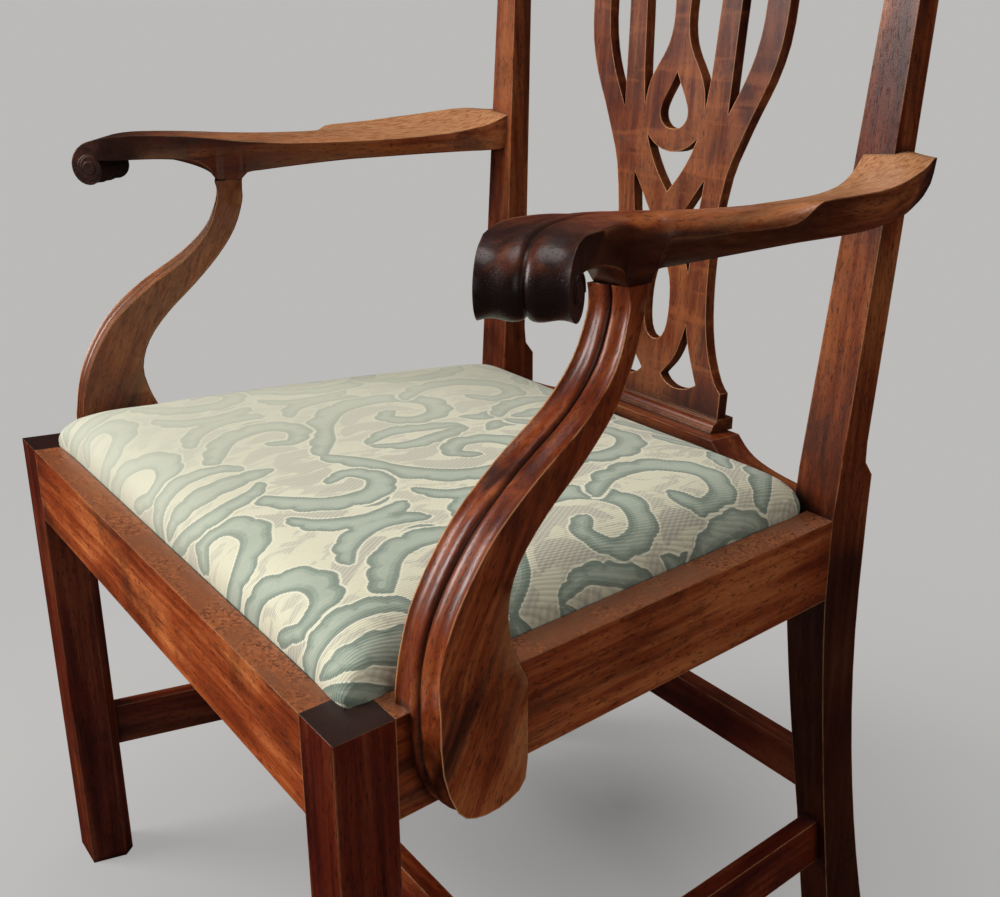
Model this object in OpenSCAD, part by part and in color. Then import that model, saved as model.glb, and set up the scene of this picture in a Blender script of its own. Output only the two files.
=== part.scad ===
// Open-arm dining chair in mahogany with a pierced splat and a drop-in seat.
// Millimetres. X runs left to right, the front faces -Y, Z is up and the floor is z = 0.
// Inside the modules y = 0 is the front face of the front legs; placed() centres the whole.

/* [Seat frame] */
// Width over the front legs
seat_front_w = 600; // [560:5:640]
// Width over the back posts at the seat
seat_back_w = 464; // [440:4:500]
// Depth from the front of the front legs to the front of the back posts
seat_d = 435; // [410:5:460]
// Height of the top of the seat rails
rail_top = 423; // [410:1:440]
// Height of the seat rails
rail_h = 63; // [56:1:70]
// Thickness of the front and side rails
rail_t = 36; // [34:1:38]
// Width of the lip beside the rebate on the side rails
lip_side = 25; // [22:1:26]
// Width of the lip beside the rebate on the front rail
lip_front = 22; // [18:1:24]
// Depth of the rebate that the drop-in seat rests in
rebate_d = 14; // [12:1:16]
// Thickness of the back rail above its ledge
back_rail_t = 30; // [26:1:32]
// Width of the ledge on the back rail
back_ledge = 10; // [8:1:12]
// Rise of the back rail's middle above the side rails
back_rise = 24.5; // [18:0.5:30]
// Half length of the raised middle of the back rail
back_rise_half = 101; // [95:1:110]

/* [Legs and posts] */
// Side of the square front legs
leg_w = 40; // [38:1:46]
// Width of the chamfer on the inner corner of the front legs
leg_chamfer = 14; // [8:1:18]
// Width of the back posts at the seat
post_w = 38; // [36:1:44]
// Depth of the back posts at the seat
post_d = 36; // [34:1:42]
// Width of the back legs at the floor
foot_w = 30; // [26:1:36]
// How far the front of the back foot sweeps back
foot_sweep_front = 50; // [40:1:60]
// How far the back of the back foot sweeps back
foot_sweep_back = 60; // [52:1:72]
// Backward lean of the posts above the seat, in degrees
rake = 4.3; // [2:0.1:7]
// Depth of the posts just above the back rail
post_d_above = 23; // [20:1:28]
// Depth of the posts at the top
post_d_top = 16; // [14:1:20]
// Width of the posts at the top
post_w_top = 24; // [22:1:28]
// How far the top of each post leans outwards
post_splay = 9; // [0:1:20]

/* [Back] */
// Full height of the chair
overall_h = 952; // [940:1:980]
// Height of the crest rail's middle above the posts
crest_h = 59; // [54:1:70]
// Thickness of the splat
splat_t = 9; // [8:0.5:10]
// How far the splat's foot stands behind the front of the posts
splat_back = 21; // [19:0.5:22]
// Backward lean of the splat, in degrees
splat_rake = 3.8; // [3:0.1:5]
// Half width of the splat at its widest
splat_half = 113; // [104:1:120]
// Height of the shoe that holds the splat
shoe_h = 10; // [8:0.5:14]
// How far the shoe reaches past the splat's foot on each side
shoe_past = 2.5; // [1:0.5:6]
// Depth of the shoe at its foot
shoe_d = 24; // [22:0.5:26]
// Thickness of the crest rail
crest_t = 26; // [24:1:28]
// How far the crest rail reaches past each post
crest_past = 21; // [12:1:30]

/* [Arms] */
// Height of the underside of the arms behind the supports
arm_under = 644; // [636:1:656]
// Thickness of the arms at their inner edge
arm_t = 15.5; // [14:0.5:19]
// Extra width of the arms
arm_extra = 0; // [-6:1:6]
// How far the outer edge of an arm stands above its inner edge
arm_tilt = 11; // [6:1:13]
// Radius of the scroll at the front of each arm
scroll_r = 15.8; // [14.5:0.1:17]
// Height of the scroll's eye above the underside of the arm
eye_up = 2.5; // [0:0.5:5]
// Width of the scroll
scroll_w = 47.6; // [42:0.2:52]
// Angle of the scroll's axis to the front of the chair, in degrees
scroll_turn = 46; // [40:1:54]
// How much less the outer face of the scroll is turned than its inner face, in degrees
face_turn_less = 8; // [0:1:10]
// Depth of the reeds worked on the arms and supports
reed_d = 2.8; // [2:0.1:3.4]
// How far the foot of each support laps the outside of the side rail
support_lap = 26; // [22:1:30]
// How far each support stands in over the lip of the side rail
support_seat = 12.6; // [10:0.2:15]

/* [Stretchers] */
// Height of the top of the side and middle stretchers
stretcher_top = 152; // [130:1:170]
// Height of a side or middle stretcher
stretcher_h = 40; // [34:1:44]
// Thickness of the side stretchers
stretcher_t = 14; // [13:0.5:18]
// Distance of the middle stretcher from the front of the chair
middle_y = 150; // [120:5:200]
// Thickness of the middle stretcher
middle_t = 15; // [13:0.5:18]
// Height of the top of the back stretcher
back_stretcher_top = 202; // [185:1:230]
// Height of the back stretcher
back_stretcher_h = 33; // [28:1:38]
// Thickness of the back stretcher
back_stretcher_t = 16; // [13:0.5:18]

/* [Drop-in seat] */
// Gap all round between the covered seat and the chair
seat_gap = 0.8; // [0.5:0.1:2]
// Thickness of the cover
cover_t = 1.2; // [1:0.1:2]
// Thickness of the seat's own frame
seat_frame_t = 15; // [13:1:18]
// Width of the rails of the seat's own frame
seat_frame_w = 52; // [45:1:60]
// Height of the crown of the pad above the seat rails
crown_h = 37; // [30:1:46]
// Width of a webbing band
web_w = 50; // [45:1:55]
// Thickness of a webbing band
web_t = 1.2; // [1:0.1:2]

/* [Joinery] */
// Clearance round every tenon
fit = 0.15; // [0.1:0.05:0.3]
// Thickness of the rail tenons
tenon_t = 10; // [8:0.5:11]
// Distance of the rail tenons from the outer faces
tenon_in = 8; // [7:0.5:9]
// Length of the rail tenons
tenon_l = 20; // [16:1:20]
// Thickness of the stretcher tenons
str_tenon_t = 8; // [6:0.5:9]
// Length of the stretcher tenons
str_tenon_l = 16; // [12:1:18]
// Diameter of the wood screws
screw_d = 4.8; // [4:0.2:5.4]

/* [Hidden] */
$fn = 48;

wood = "#6b2f1a";
inner_wood = "#b98a52";
steel = "#77726b";
rail_bot = rail_top - rail_h;
ledge = rail_top - rebate_d;
half_back = seat_back_w / 2;
post_in = half_back - post_w;
rail_mid = rail_top + back_rise;
back_rail_back = seat_d + 1 + back_rail_t;
foot_back = seat_d + post_d + foot_sweep_back;
mid_y = foot_back / 2;
ear_h = 30;
post_top = overall_h - crest_h;
crest_half = half_back + post_splay + crest_past;
splat_z = rail_mid + shoe_h;
splat_scale = splat_half / 113;
foot_half = 85.5 * splat_scale;
side_angle = atan((seat_front_w - seat_back_w) / 2 / seat_d);
splat_y0 = seat_d + splat_back;

module placed() {
    translate([0, -mid_y, 0])
        children();
}

module on_left() {
    mirror([1, 0, 0])
        children();
}

// Outer face of the chair's side at depth y
function side_x(y) = seat_front_w / 2 - (seat_front_w - seat_back_w) / 2 * y / seat_d;

// Front face of a post at height z above the seat
function post_front(z) = seat_d + tan(rake) * (z - rail_top);

// One step of a smooth curve through rows of numbers
function bend(a, b, c, d, t) =
    0.5 * (2 * b + (c - a) * t + (2 * a - 5 * b + 4 * c - d) * t * t + (3 * b - a - 3 * c + d) * t * t * t);

// Rows of numbers made finer, n steps between each two
function smooth(rows, n) = [
    for (i = [0 : len(rows) - 2])
        for (j = [0 : n - 1])
            bend(rows[max(i - 1, 0)], rows[i], rows[i + 1], rows[min(i + 2, len(rows) - 1)], j / n),
    rows[len(rows) - 1]];

// Middle of a ring's box
function mean_point(ring) = [for (k = [0 : 2])
    let (v = [for (p = ring) p[k]]) (min(v) + max(v)) / 2];

// A closed skin over rings that all have the same number of points, with a fan over each end
module skin(rings) {
    n = len(rings[0]);
    last = len(rings) - 1;
    all = n * (last + 1);
    walls = [for (i = [0 : last - 1]) for (j = [0 : n - 1])
        let (a = i * n + j, b = i * n + (j + 1) % n) each [[a, b + n, b], [a, a + n, b + n]]];
    first_end = [for (j = [0 : n - 1]) [j, (j + 1) % n, all]];
    last_end = [for (j = [0 : n - 1]) [last * n + (j + 1) % n, last * n + j, all + 1]];
    polyhedron(
        points = concat([for (r = rings) each r], [mean_point(rings[0]), mean_point(rings[last])]),
        faces = concat(walls, first_end, last_end),
        convexity = 6);
}

// A bar along the side of the chair between two depths, by distances in from the outer face
module side_bar(y1, y2, in1, in2, z1, z2) {
    translate([0, 0, z1])
        linear_extrude(z2 - z1)
            polygon([[side_x(y1) - in1, y1], [side_x(y2) - in1, y2], [side_x(y2) - in2, y2], [side_x(y1) - in2, y1]]);
}

module box(x, y, z) {
    translate([x[0], y[0], z[0]])
        cube([x[1] - x[0], y[1] - y[0], z[1] - z[0]]);
}

// FRONT LEGS

// Tenon of the front rail in the right leg, grown by g for its mortise
module front_rail_tenon(g = 0) {
    start = side_x(tenon_in) - leg_w;
    box([start - 2, start + tenon_l + g], [tenon_in - g, tenon_in + tenon_t + g],
        [rail_bot + 8 - g, ledge - 5 + g]);
}

// Tenon of the side rail in the front leg
module side_rail_front_tenon(g = 0) {
    side_bar(leg_w - tenon_l + 0.5 - g, leg_w + 2, tenon_in + 1 - g, tenon_in + tenon_t + 1 + g,
        rail_bot + 8 - g, ledge - 5 + g);
}

module side_stretcher_front_tenon(g = 0) {
    side_bar(leg_w - str_tenon_l - g, leg_w + 2, 4 + (stretcher_t - str_tenon_t) / 2 - g,
        4 + (stretcher_t + str_tenon_t) / 2 + g, stretcher_top - stretcher_h + 6 - g, stretcher_top - 6 + g);
}

// Square leg, chamfered on its inner corner below the rails and rebated on top for the seat
module front_leg() {
    difference() {
        side_bar(0, leg_w, 0, leg_w, 0, rail_top);
        translate([0, 0, -1])
            linear_extrude(rail_bot + 1)
                polygon([[side_x(leg_w) - leg_w - 3, leg_w - leg_chamfer], [side_x(leg_w) - leg_w + leg_chamfer,
                    leg_w + 3], [side_x(leg_w) - leg_w - 3, leg_w + 3]]);
        side_bar(lip_front, leg_w + 1, lip_side, leg_w + 1, ledge, rail_top + 1);
        front_rail_tenon(fit);
        side_rail_front_tenon(fit);
        side_stretcher_front_tenon(fit);
    }
}

// BACK POSTS

// Front and back of the post in profile, leg and upright in one piece
function leg_front(z) = seat_d + foot_sweep_front * pow((rail_bot - z) / rail_bot, 1.3);
function leg_back(z) = seat_d + post_d + foot_sweep_back * pow((rail_bot - z) / rail_bot, 1.8);

leg_steps = [0 : 0.1 : 0.9];
post_profile = concat(
    [for (t = leg_steps) [leg_front(rail_bot * t), rail_bot * t]],
    [[seat_d, rail_bot], [seat_d, rail_top], [post_front(post_top), post_top],
        [post_front(post_top) + post_d_top, post_top - post_d_top * tan(rake)],
        [post_front(rail_mid + ear_h) + post_d_above, rail_mid + ear_h],
        [post_front(rail_mid + ear_h / 2) + post_d_above + 2, rail_mid + ear_h / 2],
        [seat_d + post_d, rail_mid + 4]],
    [for (t = [1 : -0.1 : 0]) [leg_back(rail_bot * t), rail_bot * t]]);

post_outline = [[half_back - foot_w, -1], [half_back - foot_w, stretcher_top],
    [post_in, rail_bot - 20], [post_in, rail_mid + 6], [half_back + post_splay * 0.6 - 31.5, arm_under + 36],
    [half_back + post_splay - post_w_top, post_top + 1], [half_back + post_splay, post_top + 1],
    [half_back + post_splay * 0.6, arm_under + 30], [half_back, rail_top], [half_back, -1]];

module post_body() {
    intersection() {
        translate([post_in - 30, 0, 0])
            rotate([90, 0, 90])
                linear_extrude(post_w + post_splay + 60)
                    polygon(post_profile);
        translate([0, foot_back + 20, 0])
            rotate([90, 0, 0])
                linear_extrude(foot_back)
                    polygon(post_outline);
    }
}

module side_rail_back_tenon(g = 0) {
    side_bar(seat_d - 2, seat_d + tenon_l + g, tenon_in - g, tenon_in + tenon_t + g, rail_bot + 8 - g, ledge - 5 + g);
}

module back_rail_tenon(g = 0) {
    box([post_in - 2, post_in + tenon_l - 2 + g], [seat_d + tenon_l + 1.5 - g, back_rail_back - 1 + g],
        [rail_bot + 8 - g, ledge - 5 + g]);
}

module side_stretcher_back_tenon(g = 0) {
    y = leg_front(stretcher_top - stretcher_h / 2);
    side_bar(y - 2, y + str_tenon_l + g, 4 + (stretcher_t - str_tenon_t) / 2 - g,
        4 + (stretcher_t + str_tenon_t) / 2 + g, stretcher_top - stretcher_h + 6 - g, stretcher_top - 6 + g);
}

back_stretcher_y = leg_front(back_stretcher_top - back_stretcher_h / 2) + 9;

module back_stretcher_tenon(g = 0) {
    x = half_back - foot_w - 3;
    box([x, x + str_tenon_l + g], [back_stretcher_y + (back_stretcher_t - str_tenon_t) / 2 - g,
        back_stretcher_y + (back_stretcher_t + str_tenon_t) / 2 + g],
        [back_stretcher_top - back_stretcher_h + 5 - g, back_stretcher_top - 5 + g]);
}

// Round tenon on top of a post, let into the crest rail
post_top_x = half_back + post_splay - post_w_top / 2;
module post_crest_tenon(g = 0) {
    translate([post_top_x, post_front(post_top) + post_d_top / 2, post_top - 3])
        rotate([-rake, 0, 0])
            cylinder(d = 11 + 2 * g, h = 17 + g);
}

module back_post() {
    difference() {
        post_body();
        side_rail_back_tenon(fit);
        back_rail_tenon(fit);
        side_stretcher_back_tenon(fit);
        back_stretcher_tenon(fit);
        arm_screw_hole();
        arm_plug_hole();
    }
    post_crest_tenon();
}

// SEAT RAILS

module front_rail() {
    difference() {
        translate([0, 0, rail_bot])
            linear_extrude(rail_h)
                polygon([[side_x(0) - leg_w, 0], [side_x(rail_t) - leg_w, rail_t],
                    [leg_w - side_x(rail_t), rail_t], [leg_w - side_x(0), 0]]);
        box([-seat_front_w / 2, seat_front_w / 2], [lip_front, rail_t + 1], [ledge, rail_top + 1]);
    }
    front_rail_tenon();
    on_left()
        front_rail_tenon();
}

module side_rail() {
    difference() {
        side_bar(leg_w, seat_d, 0, rail_t, rail_bot, rail_top);
        side_bar(leg_w - 1, seat_d + 1, lip_side, rail_t + 1, ledge, rail_top + 1);
        support_screws(0.1);
    }
    side_rail_front_tenon();
    side_rail_back_tenon();
}

// Upper outline of the back rail: raised in the middle, swept down to the posts
ramp = smooth([[back_rise_half, rail_mid], [back_rise_half + 12, rail_mid - 10], [back_rise_half + 28,
    rail_mid - 16.5], [back_rise_half + 55, rail_mid - 21], [post_in, rail_top + 1]], 4);

module back_rail() {
    box([-post_in, post_in], [seat_d - back_ledge, back_rail_back], [rail_bot, ledge]);
    translate([0, back_rail_back, 0])
        rotate([90, 0, 0])
            linear_extrude(back_rail_t)
                polygon(concat([[-post_in, ledge], [post_in, ledge]], [for (i = [len(ramp) - 1 : -1 : 0]) ramp[i]],
                    [for (p = ramp) [-p[0], p[1]]]));
    back_rail_tenon();
    on_left()
        back_rail_tenon();
}

// BACK

// Moulded shoe on the back rail: fillet, ovolo and fillet in profile
shoe_y = splat_y0 - 9;
shoe_profile = concat([[0, 0], [shoe_d, 0], [shoe_d, shoe_h], [7, shoe_h], [7, shoe_h - 1.3], [6.2, shoe_h - 1.3]],
    [for (a = [90 : -15 : 0]) [6.2 - 4.2 * cos(a), 3.2 + (shoe_h - 5.3) * sin(a)]],
    [[1.2, 2.9], [1.2, 1.6], [0, 1.4]]);
shoe_half = foot_half + shoe_past;

module splat_place() {
    translate([0, splat_y0, splat_z])
        rotate([-splat_rake, 0, 0])
            children();
}

module splat_slot(g = 0) {
    splat_place()
        box([6 - foot_half - g, foot_half - 6 + g], [1.5 - g, splat_t - 1.5 + g], [0.9 - shoe_h - 20 * g, 1]);
}

module splat_shoe() {
    difference() {
        translate([-shoe_half, shoe_y, rail_mid])
            rotate([90, 0, 90])
                linear_extrude(2 * shoe_half)
                    polygon(shoe_profile);
        splat_slot(fit);
    }
}

module both_sides() {
    children();
    mirror([1, 0])
        children();
}

splat_top = (post_top - splat_z) / cos(splat_rake) + 8;
splat_tall = splat_top / 444.5;
gap_top = 420.5;
function wide(rows) = [for (p = rows) [p[0] * splat_scale, p[1] * splat_tall]];
function mirrored(rows) = [for (i = [len(rows) - 1 : -1 : 0]) [-rows[i][0], rows[i][1]]];

// Right edge of the splat from the ear over its foot, by the waist, out to the shoulder and the crest rail
splat_edge = smooth(wide([[85.5, 21], [77.5, 28.5], [68, 47], [62, 68], [58.8, 92], [57.8, 122], [60, 151],
    [66.5, 188], [76, 211], [89, 237], [101.5, 260], [110.5, 286], [113.5, 318], [111, 352], [104, 388],
    [98, 444.5]]), 2);
// Gap between the outer strap and the inner strap
gap_outer = concat(smooth(wide([[62, 234.5], [72, 251], [82, 271], [88.5, 292], [91, 317], [89.5, 352], [84, 385],
    [77, gap_top - 4]]), 2), smooth(wide([[72, gap_top - 4], [70, 385], [67.5, 352], [65, 317], [63.5, 278],
    [62, 234.5]]), 2));
// Gap between the inner strap and the stem of the drop
gap_inner = concat(smooth(wide([[36, 236.5], [40, 262], [42, 290], [44, 320], [48, 352], [54, 385],
    [59, gap_top - 6]]), 2), smooth(wide([[24, gap_top - 6], [15, 385], [10.5, 350], [9, 318], [9, 300], [12.5, 286],
    [19, 275], [28, 263], [34, 250], [36, 236.5]]), 2));
// Right half of the drop-shaped hole
drop_hole = smooth(wide([[0, 264], [6, 254], [13, 243], [16.5, 234], [14.5, 226.5], [8, 221.5], [0, 220.5]]), 3);
// Right half of the gap under the drop
under_drop = concat(smooth(wide([[0, 202.5], [11, 204], [22, 208.5], [30.5, 215]]), 2),
    smooth(wide([[30.5, 215], [24, 201], [13, 185], [0, 171]]), 2));
// Gap between the crossing straps and the outer strap
gap_waist = concat(smooth(wide([[43, 184], [42, 173], [38.5, 150], [36, 128], [35, 109]]), 2),
    smooth(wide([[35, 109], [29, 122], [21, 136], [12.5, 146]]), 2),
    smooth(wide([[12.5, 146], [19, 153], [28, 165], [36.5, 176], [43, 184]]), 2));
// Right half of the oval under the crossing
oval_hole = smooth(wide([[0, 122], [7, 114], [12.5, 103], [15, 88], [15, 72], [12.5, 59], [7, 51.5], [0, 49.5]]), 2);
// Three-cornered hole above the splat's foot
foot_hole = concat(smooth(wide([[38, 68], [41.5, 55], [46, 43.5], [52, 30.5], [56.3, 21.5]]), 2),
    smooth(wide([[56.3, 21.5], [47, 16.5], [36, 14], [26, 14.3], [17.5, 17.5], [12.5, 22]]), 2),
    smooth(wide([[12.5, 22], [17, 27], [24, 34.5], [30, 44.5], [35, 58], [38, 68]]), 2));

// Front view of the splat, measured up from the top of the shoe
module splat_outline() {
    difference() {
        polygon(concat([[-foot_half, 0], [foot_half, 0]], splat_edge, mirrored(splat_edge)));
        polygon(concat(drop_hole, mirrored(drop_hole)));
        polygon(concat(under_drop, mirrored(under_drop)));
        polygon(concat(oval_hole, mirrored(oval_hole)));
        both_sides() {
            polygon(gap_outer);
            polygon(gap_inner);
            polygon(gap_waist);
            polygon(foot_hole);
        }
    }
}

module splat() {
    difference() {
        splat_place()
            translate([0, splat_t, 0])
                rotate([90, 0, 0])
                    linear_extrude(splat_t)
                        splat_outline();
        box([-splat_half, splat_half], [splat_y0 - 5, splat_y0 + splat_t + 5], [splat_z - 5, splat_z]);
    }
    splat_slot();
}

// Serpentine crest rail with upturned ears
crest_top = smooth([for (p = [[0, 0], [0.153, 3], [0.324, 14], [0.496, 19], [0.687, 14], [0.859, 4], [0.954, 1]])
    [p[0] * crest_half, crest_h * (1 - p[1] / 59)]], 4);
crest_under = smooth([[crest_half - 3, crest_h * 0.86], [crest_half, crest_h * 0.7], [crest_half - 0.29 * crest_past,
    crest_h * 0.42], [crest_half - 0.81 * crest_past, crest_h * 0.14], [half_back + post_splay, 0]], 3);
crest_inner = half_back + post_splay - post_w_top;
crest_mid = smooth([[crest_inner, 0], [crest_inner - 0.22 * (crest_inner - splat_half), 8],
    [crest_inner - 0.64 * (crest_inner - splat_half), 13], [splat_half + 2, 10], [splat_half - 10, 2]], 4);
crest_half_outline = concat(crest_top, crest_under, crest_mid, [[splat_half - 12, 0], [0, 0]]);

module crest_rail() {
    difference() {
        translate([0, post_front(post_top), post_top])
            rotate([-rake, 0, 0])
                translate([0, crest_t, 0])
                    rotate([90, 0, 0])
                        linear_extrude(crest_t)
                            both_sides()
                                polygon(crest_half_outline);
        post_crest_tenon(fit);
        on_left()
            post_crest_tenon(fit);
        crest_splat_groove();
    }
}

// Groove in the underside of the crest rail for the top of the splat
module crest_splat_groove() {
    splat_place()
        box([-splat_half + 9, splat_half - 9], [-fit, splat_t + fit], [splat_top - 40, splat_top + fit]);
}

// ARM SUPPORTS

// Everything inside is laid out along the side rail: x out from its outer face, y back along it
module along_side() {
    translate([seat_front_w / 2, 0, 0])
        rotate([0, 0, side_angle])
            children();
}

// Foot of the support below the top of the rail: height over the rail's underside, front, back
support_foot = [[-2.5, 80, 92], [-1, 73, 99], [2, 66, 107], [8, 60.5, 112], [20, 55, 113.5], [35, 51, 113.5],
    [rail_h - 11, 49.7, 113.5]];
// Curve of the support above the rail: share of the way up to the arm, front, outer back corner,
// inner back corner, inner face, outer face, how far the front is twisted
support_curve = [[0.0306, 50.2, 113.5, 120, -1, 25.6, 0], [0.0815, 51.7, 110, 118.5, -1, 23, 0],
    [0.153, 54.3, 104.7, 112.6, -0.95, 22.2, 0], [0.255, 61, 102.4, 108.8, -0.92, 22.8, 0],
    [0.367, 73.6, 108.6, 117, -0.8, 24.5, 0], [0.476, 91.5, 127.5, 136, -0.7, 25.6, 0],
    [0.584, 119.7, 154.5, 161.2, -0.69, 26, 0], [0.693, 155.5, 179, 184, -0.65, 24.6, 2],
    [0.799, 178.2, 195.1, 200.5, -0.6, 22, 4.5], [0.907, 188.6, 205.5, 209.5, -0.52, 19.6, 5.4],
    [0.963, 190.5, 207.5, 210.5, -0.5, 19.2, 5.6], [1, 189.3, 209, 211, -0.48, 19, 6.2]];

// Depth of the moulding from one edge to the other: arris, cove, reed, groove and the same again
reed_half = [[0, 0], [0.02, 0.12], [0.06, 0.34], [0.12, 0.52], [0.18, 0.52], [0.24, 0.32], [0.31, 0.08], [0.37, 0],
    [0.42, 0.12], [0.46, 0.42], [0.488, 1]];
reeds = concat(reed_half, [for (i = [len(reed_half) - 1 : -1 : 0]) [1 - reed_half[i][0], reed_half[i][1]]]);
knee_z = arm_under - 12;

module arm_support() {
    rise = knee_z - rail_top;
    low = [for (r = support_foot)
        [rail_bot + r[0], r[1], r[2], r[2] + 6 * pow((r[0] + 3) / rail_h, 2), -1, support_lap, 0]];
    high = [for (r = support_curve) [rail_top + r[0] * rise, r[1], r[2], r[3], r[4], r[5], r[6]]];
    rows = concat([for (i = [0 : len(low) - 1]) low[i]], smooth(concat([low[len(low) - 1]], high), 3));
    rings_of = [for (i = [0 : len(rows) - 1]) if (i == 0 || rows[i][0] > rows[i - 1][0] + 0.01) rows[i]];
    last = len(rings_of) - 1;
    function slope(i) =
        let (a = rings_of[max(i - 1, 0)], b = rings_of[min(i + 1, last)])
            (b[1] - a[1]) / (b[0] - a[0]);
    function depth(i) = min(reed_d * sqrt(1 + pow(slope(i), 2)), (rings_of[i][2] - rings_of[i][1]) / 4);
    function ring(i, up) =
        let (r = rings_of[i], x1 = r[4] * support_seat, x2 = r[5], d = depth(i), z = r[0] + up)
            concat([for (p = reeds) [x1 + (x2 - x1) * p[0], r[1] + r[6] * (p[0] - 0.5) + d * p[1], z]],
                [[x2, r[2] - 1.5, z], [x2 - 1.5, r[2], z], [x1 + 1.5, r[3], z], [x1, r[3] - 1.5, z]]);
    difference() {
        along_side()
            skin(concat([ring(0, -1)], [for (i = [0 : last]) ring(i, 0)], [ring(last, 1)]));
        box([150, 400], [0, 400], [rings_of[0][0] - 5, rings_of[0][0]]);
        box([150, 400], [0, 400], [knee_z, knee_z + 5]);
        side_bar(20, 140, -0.01, rail_t + 40, rail_bot - 20, rail_top);
        support_screws(0.1);
    }
    arm_dowel();
}

knee_in = -0.48 * support_seat;
knee_out = 19;
// Round tenon between the support and the arm
module arm_dowel(g = 0) {
    along_side()
        translate([(knee_in + knee_out) / 2, 199.5, knee_z - 2])
            cylinder(d = 10 + 2 * g, h = 18 + g);
}

// ARMS

arm_top = arm_under + arm_t;
knee_back = 211;
eye_z = arm_under + eye_up;

// The arms keep their place on the sides of the seat and stretch with its depth behind the supports
function arm_y(y) = y <= knee_back ? y : knee_back + (y - knee_back) * (seat_d - knee_back) / (435 - knee_back);
function arm_x(x, y) = x + side_x(arm_y(y)) - (300 - 68 * y / 435);

// Sections of the right arm from its tip behind the post to the scroll: inner edge x and y, outer edge
// x and y, height of the inner edge over arm_top, of the outer edge over it, underside over arm_under,
// undercut of the outer side, roundness of the outer side, reeds, fall of the underside to its outer edge
arm_rows = [
    [203.4, 476.2, 262, 465.8, 23, 17.5, 15.5, 2, 0, 0, 0],
    [206.3, 467.8, 267.2, 459.2, 21.5, 19, 8, 7, 0, 0, 0],
    [211.2, 456.3, 273.3, 449.7, 18, 20, 3.5, 11, 0, 0, 0],
    [218, 441.1, 280.5, 437.9, 10, 19.5, 1, 13, 0, 0, 0],
    [226, 425.5, 288, 424.5, 5.5, 17.8, 0.5, 13.3, 0, 0, 0],
    [234, 407, 295.5, 407, 2, 15.5, 0, 13.5, 0, 0, 0],
    [241, 382, 305, 382, 0, 12.9, -0.4, 14.5, 0, 0, 0],
    [243.3, 360, 309, 360, -0.6, 11, -0.5, 14, 0, 0, 0],
    [244.6, 333, 309.3, 333, -0.7, 10, -0.5, 13, 0, 0, 0],
    [246.9, 314, 308.8, 314, -0.6, 9.6, -0.6, 12.5, 0.04, 0, 0],
    [247.8, 305, 308.5, 305, -0.5, 9.5, -0.8, 12.2, 0.5, 0, 0],
    [248.8, 295, 308.1, 295, -0.3, 9.7, -1.1, 12, 0.9, 0, 0],
    [250.5, 278, 307.2, 278, 0, 10, -1.8, 12, 1, 0, 0],
    [253.8, 248, 304.7, 248, 1.2, 11.1, -3.4, 12.5, 1, 0, 0],
    [257, 226, 301.5, 227, 3.2, 12.1, -5, 12.8, 1, 0.02, 0],
    [258.6, 212.5, 299.5, 215, 4.5, 12.9, -6.2, 12.8, 0.95, 0.12, 0],
    [259.7, 206.5, 298.4, 210.5, 5.1, 13.2, -12.4, 11.4, 0.9, 0.2, 0],
    [261, 200, 297.6, 206, 6, 13.4, -12.4, 9.8, 0.85, 0.3, 0],
    [262.1, 194.5, 297, 201.6, 6.8, 13.6, -12.3, 8.6, 0.8, 0.39, 0],
    [263, 190, 296.8, 198, 7.5, 13.8, -12.3, 7.9, 0.76, 0.46, 0],
    [263.6, 186.6, 296.7, 195, 8.1, 13.9, -12, 7.4, 0.73, 0.52, 0],
    [264, 183.7, 296.7, 192.3, 8.5, 14, -7.8, 6.6, 0.71, 0.57, 0.4],
    [264.3, 180.4, 297, 189.3, 9, 14.1, -3.4, 4.8, 0.69, 0.62, 2.4],
    [264.8, 175, 298.4, 184.9, 9.7, 14.2, 0.9, 2.6, 0.66, 0.7, 4.2],
    [265.5, 168, 301, 179, 10.6, 14.3, 4.5, 1.4, 0.62, 0.8, 5.2],
    [267, 158.5, 305, 171, 11.7, 14.5, 6.8, 0.8, 0.56, 0.9, 4.7],
    [269.4, 147, 311.5, 161, 12.6, 14.6, 8.3, 0.5, 0.5, 0.97, 3.4],
    [273.6, 134, 318.6, 150.3, 13.3, 14.6, 9, 0.2, 0.42, 1, 2],
    [279.3, 120, 325, 140.4, 13.5, 14.5, 9, 0, 0.34, 1, 1],
    [287, 107.8, 330, 133, 12.7, 13.9, 8.6, 0, 0.25, 1, 0.4],
    [296.5, 96.2, 333.9, 127.8, 11.4, 12.4, 8, 0, 0.14, 1, 0]];

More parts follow.
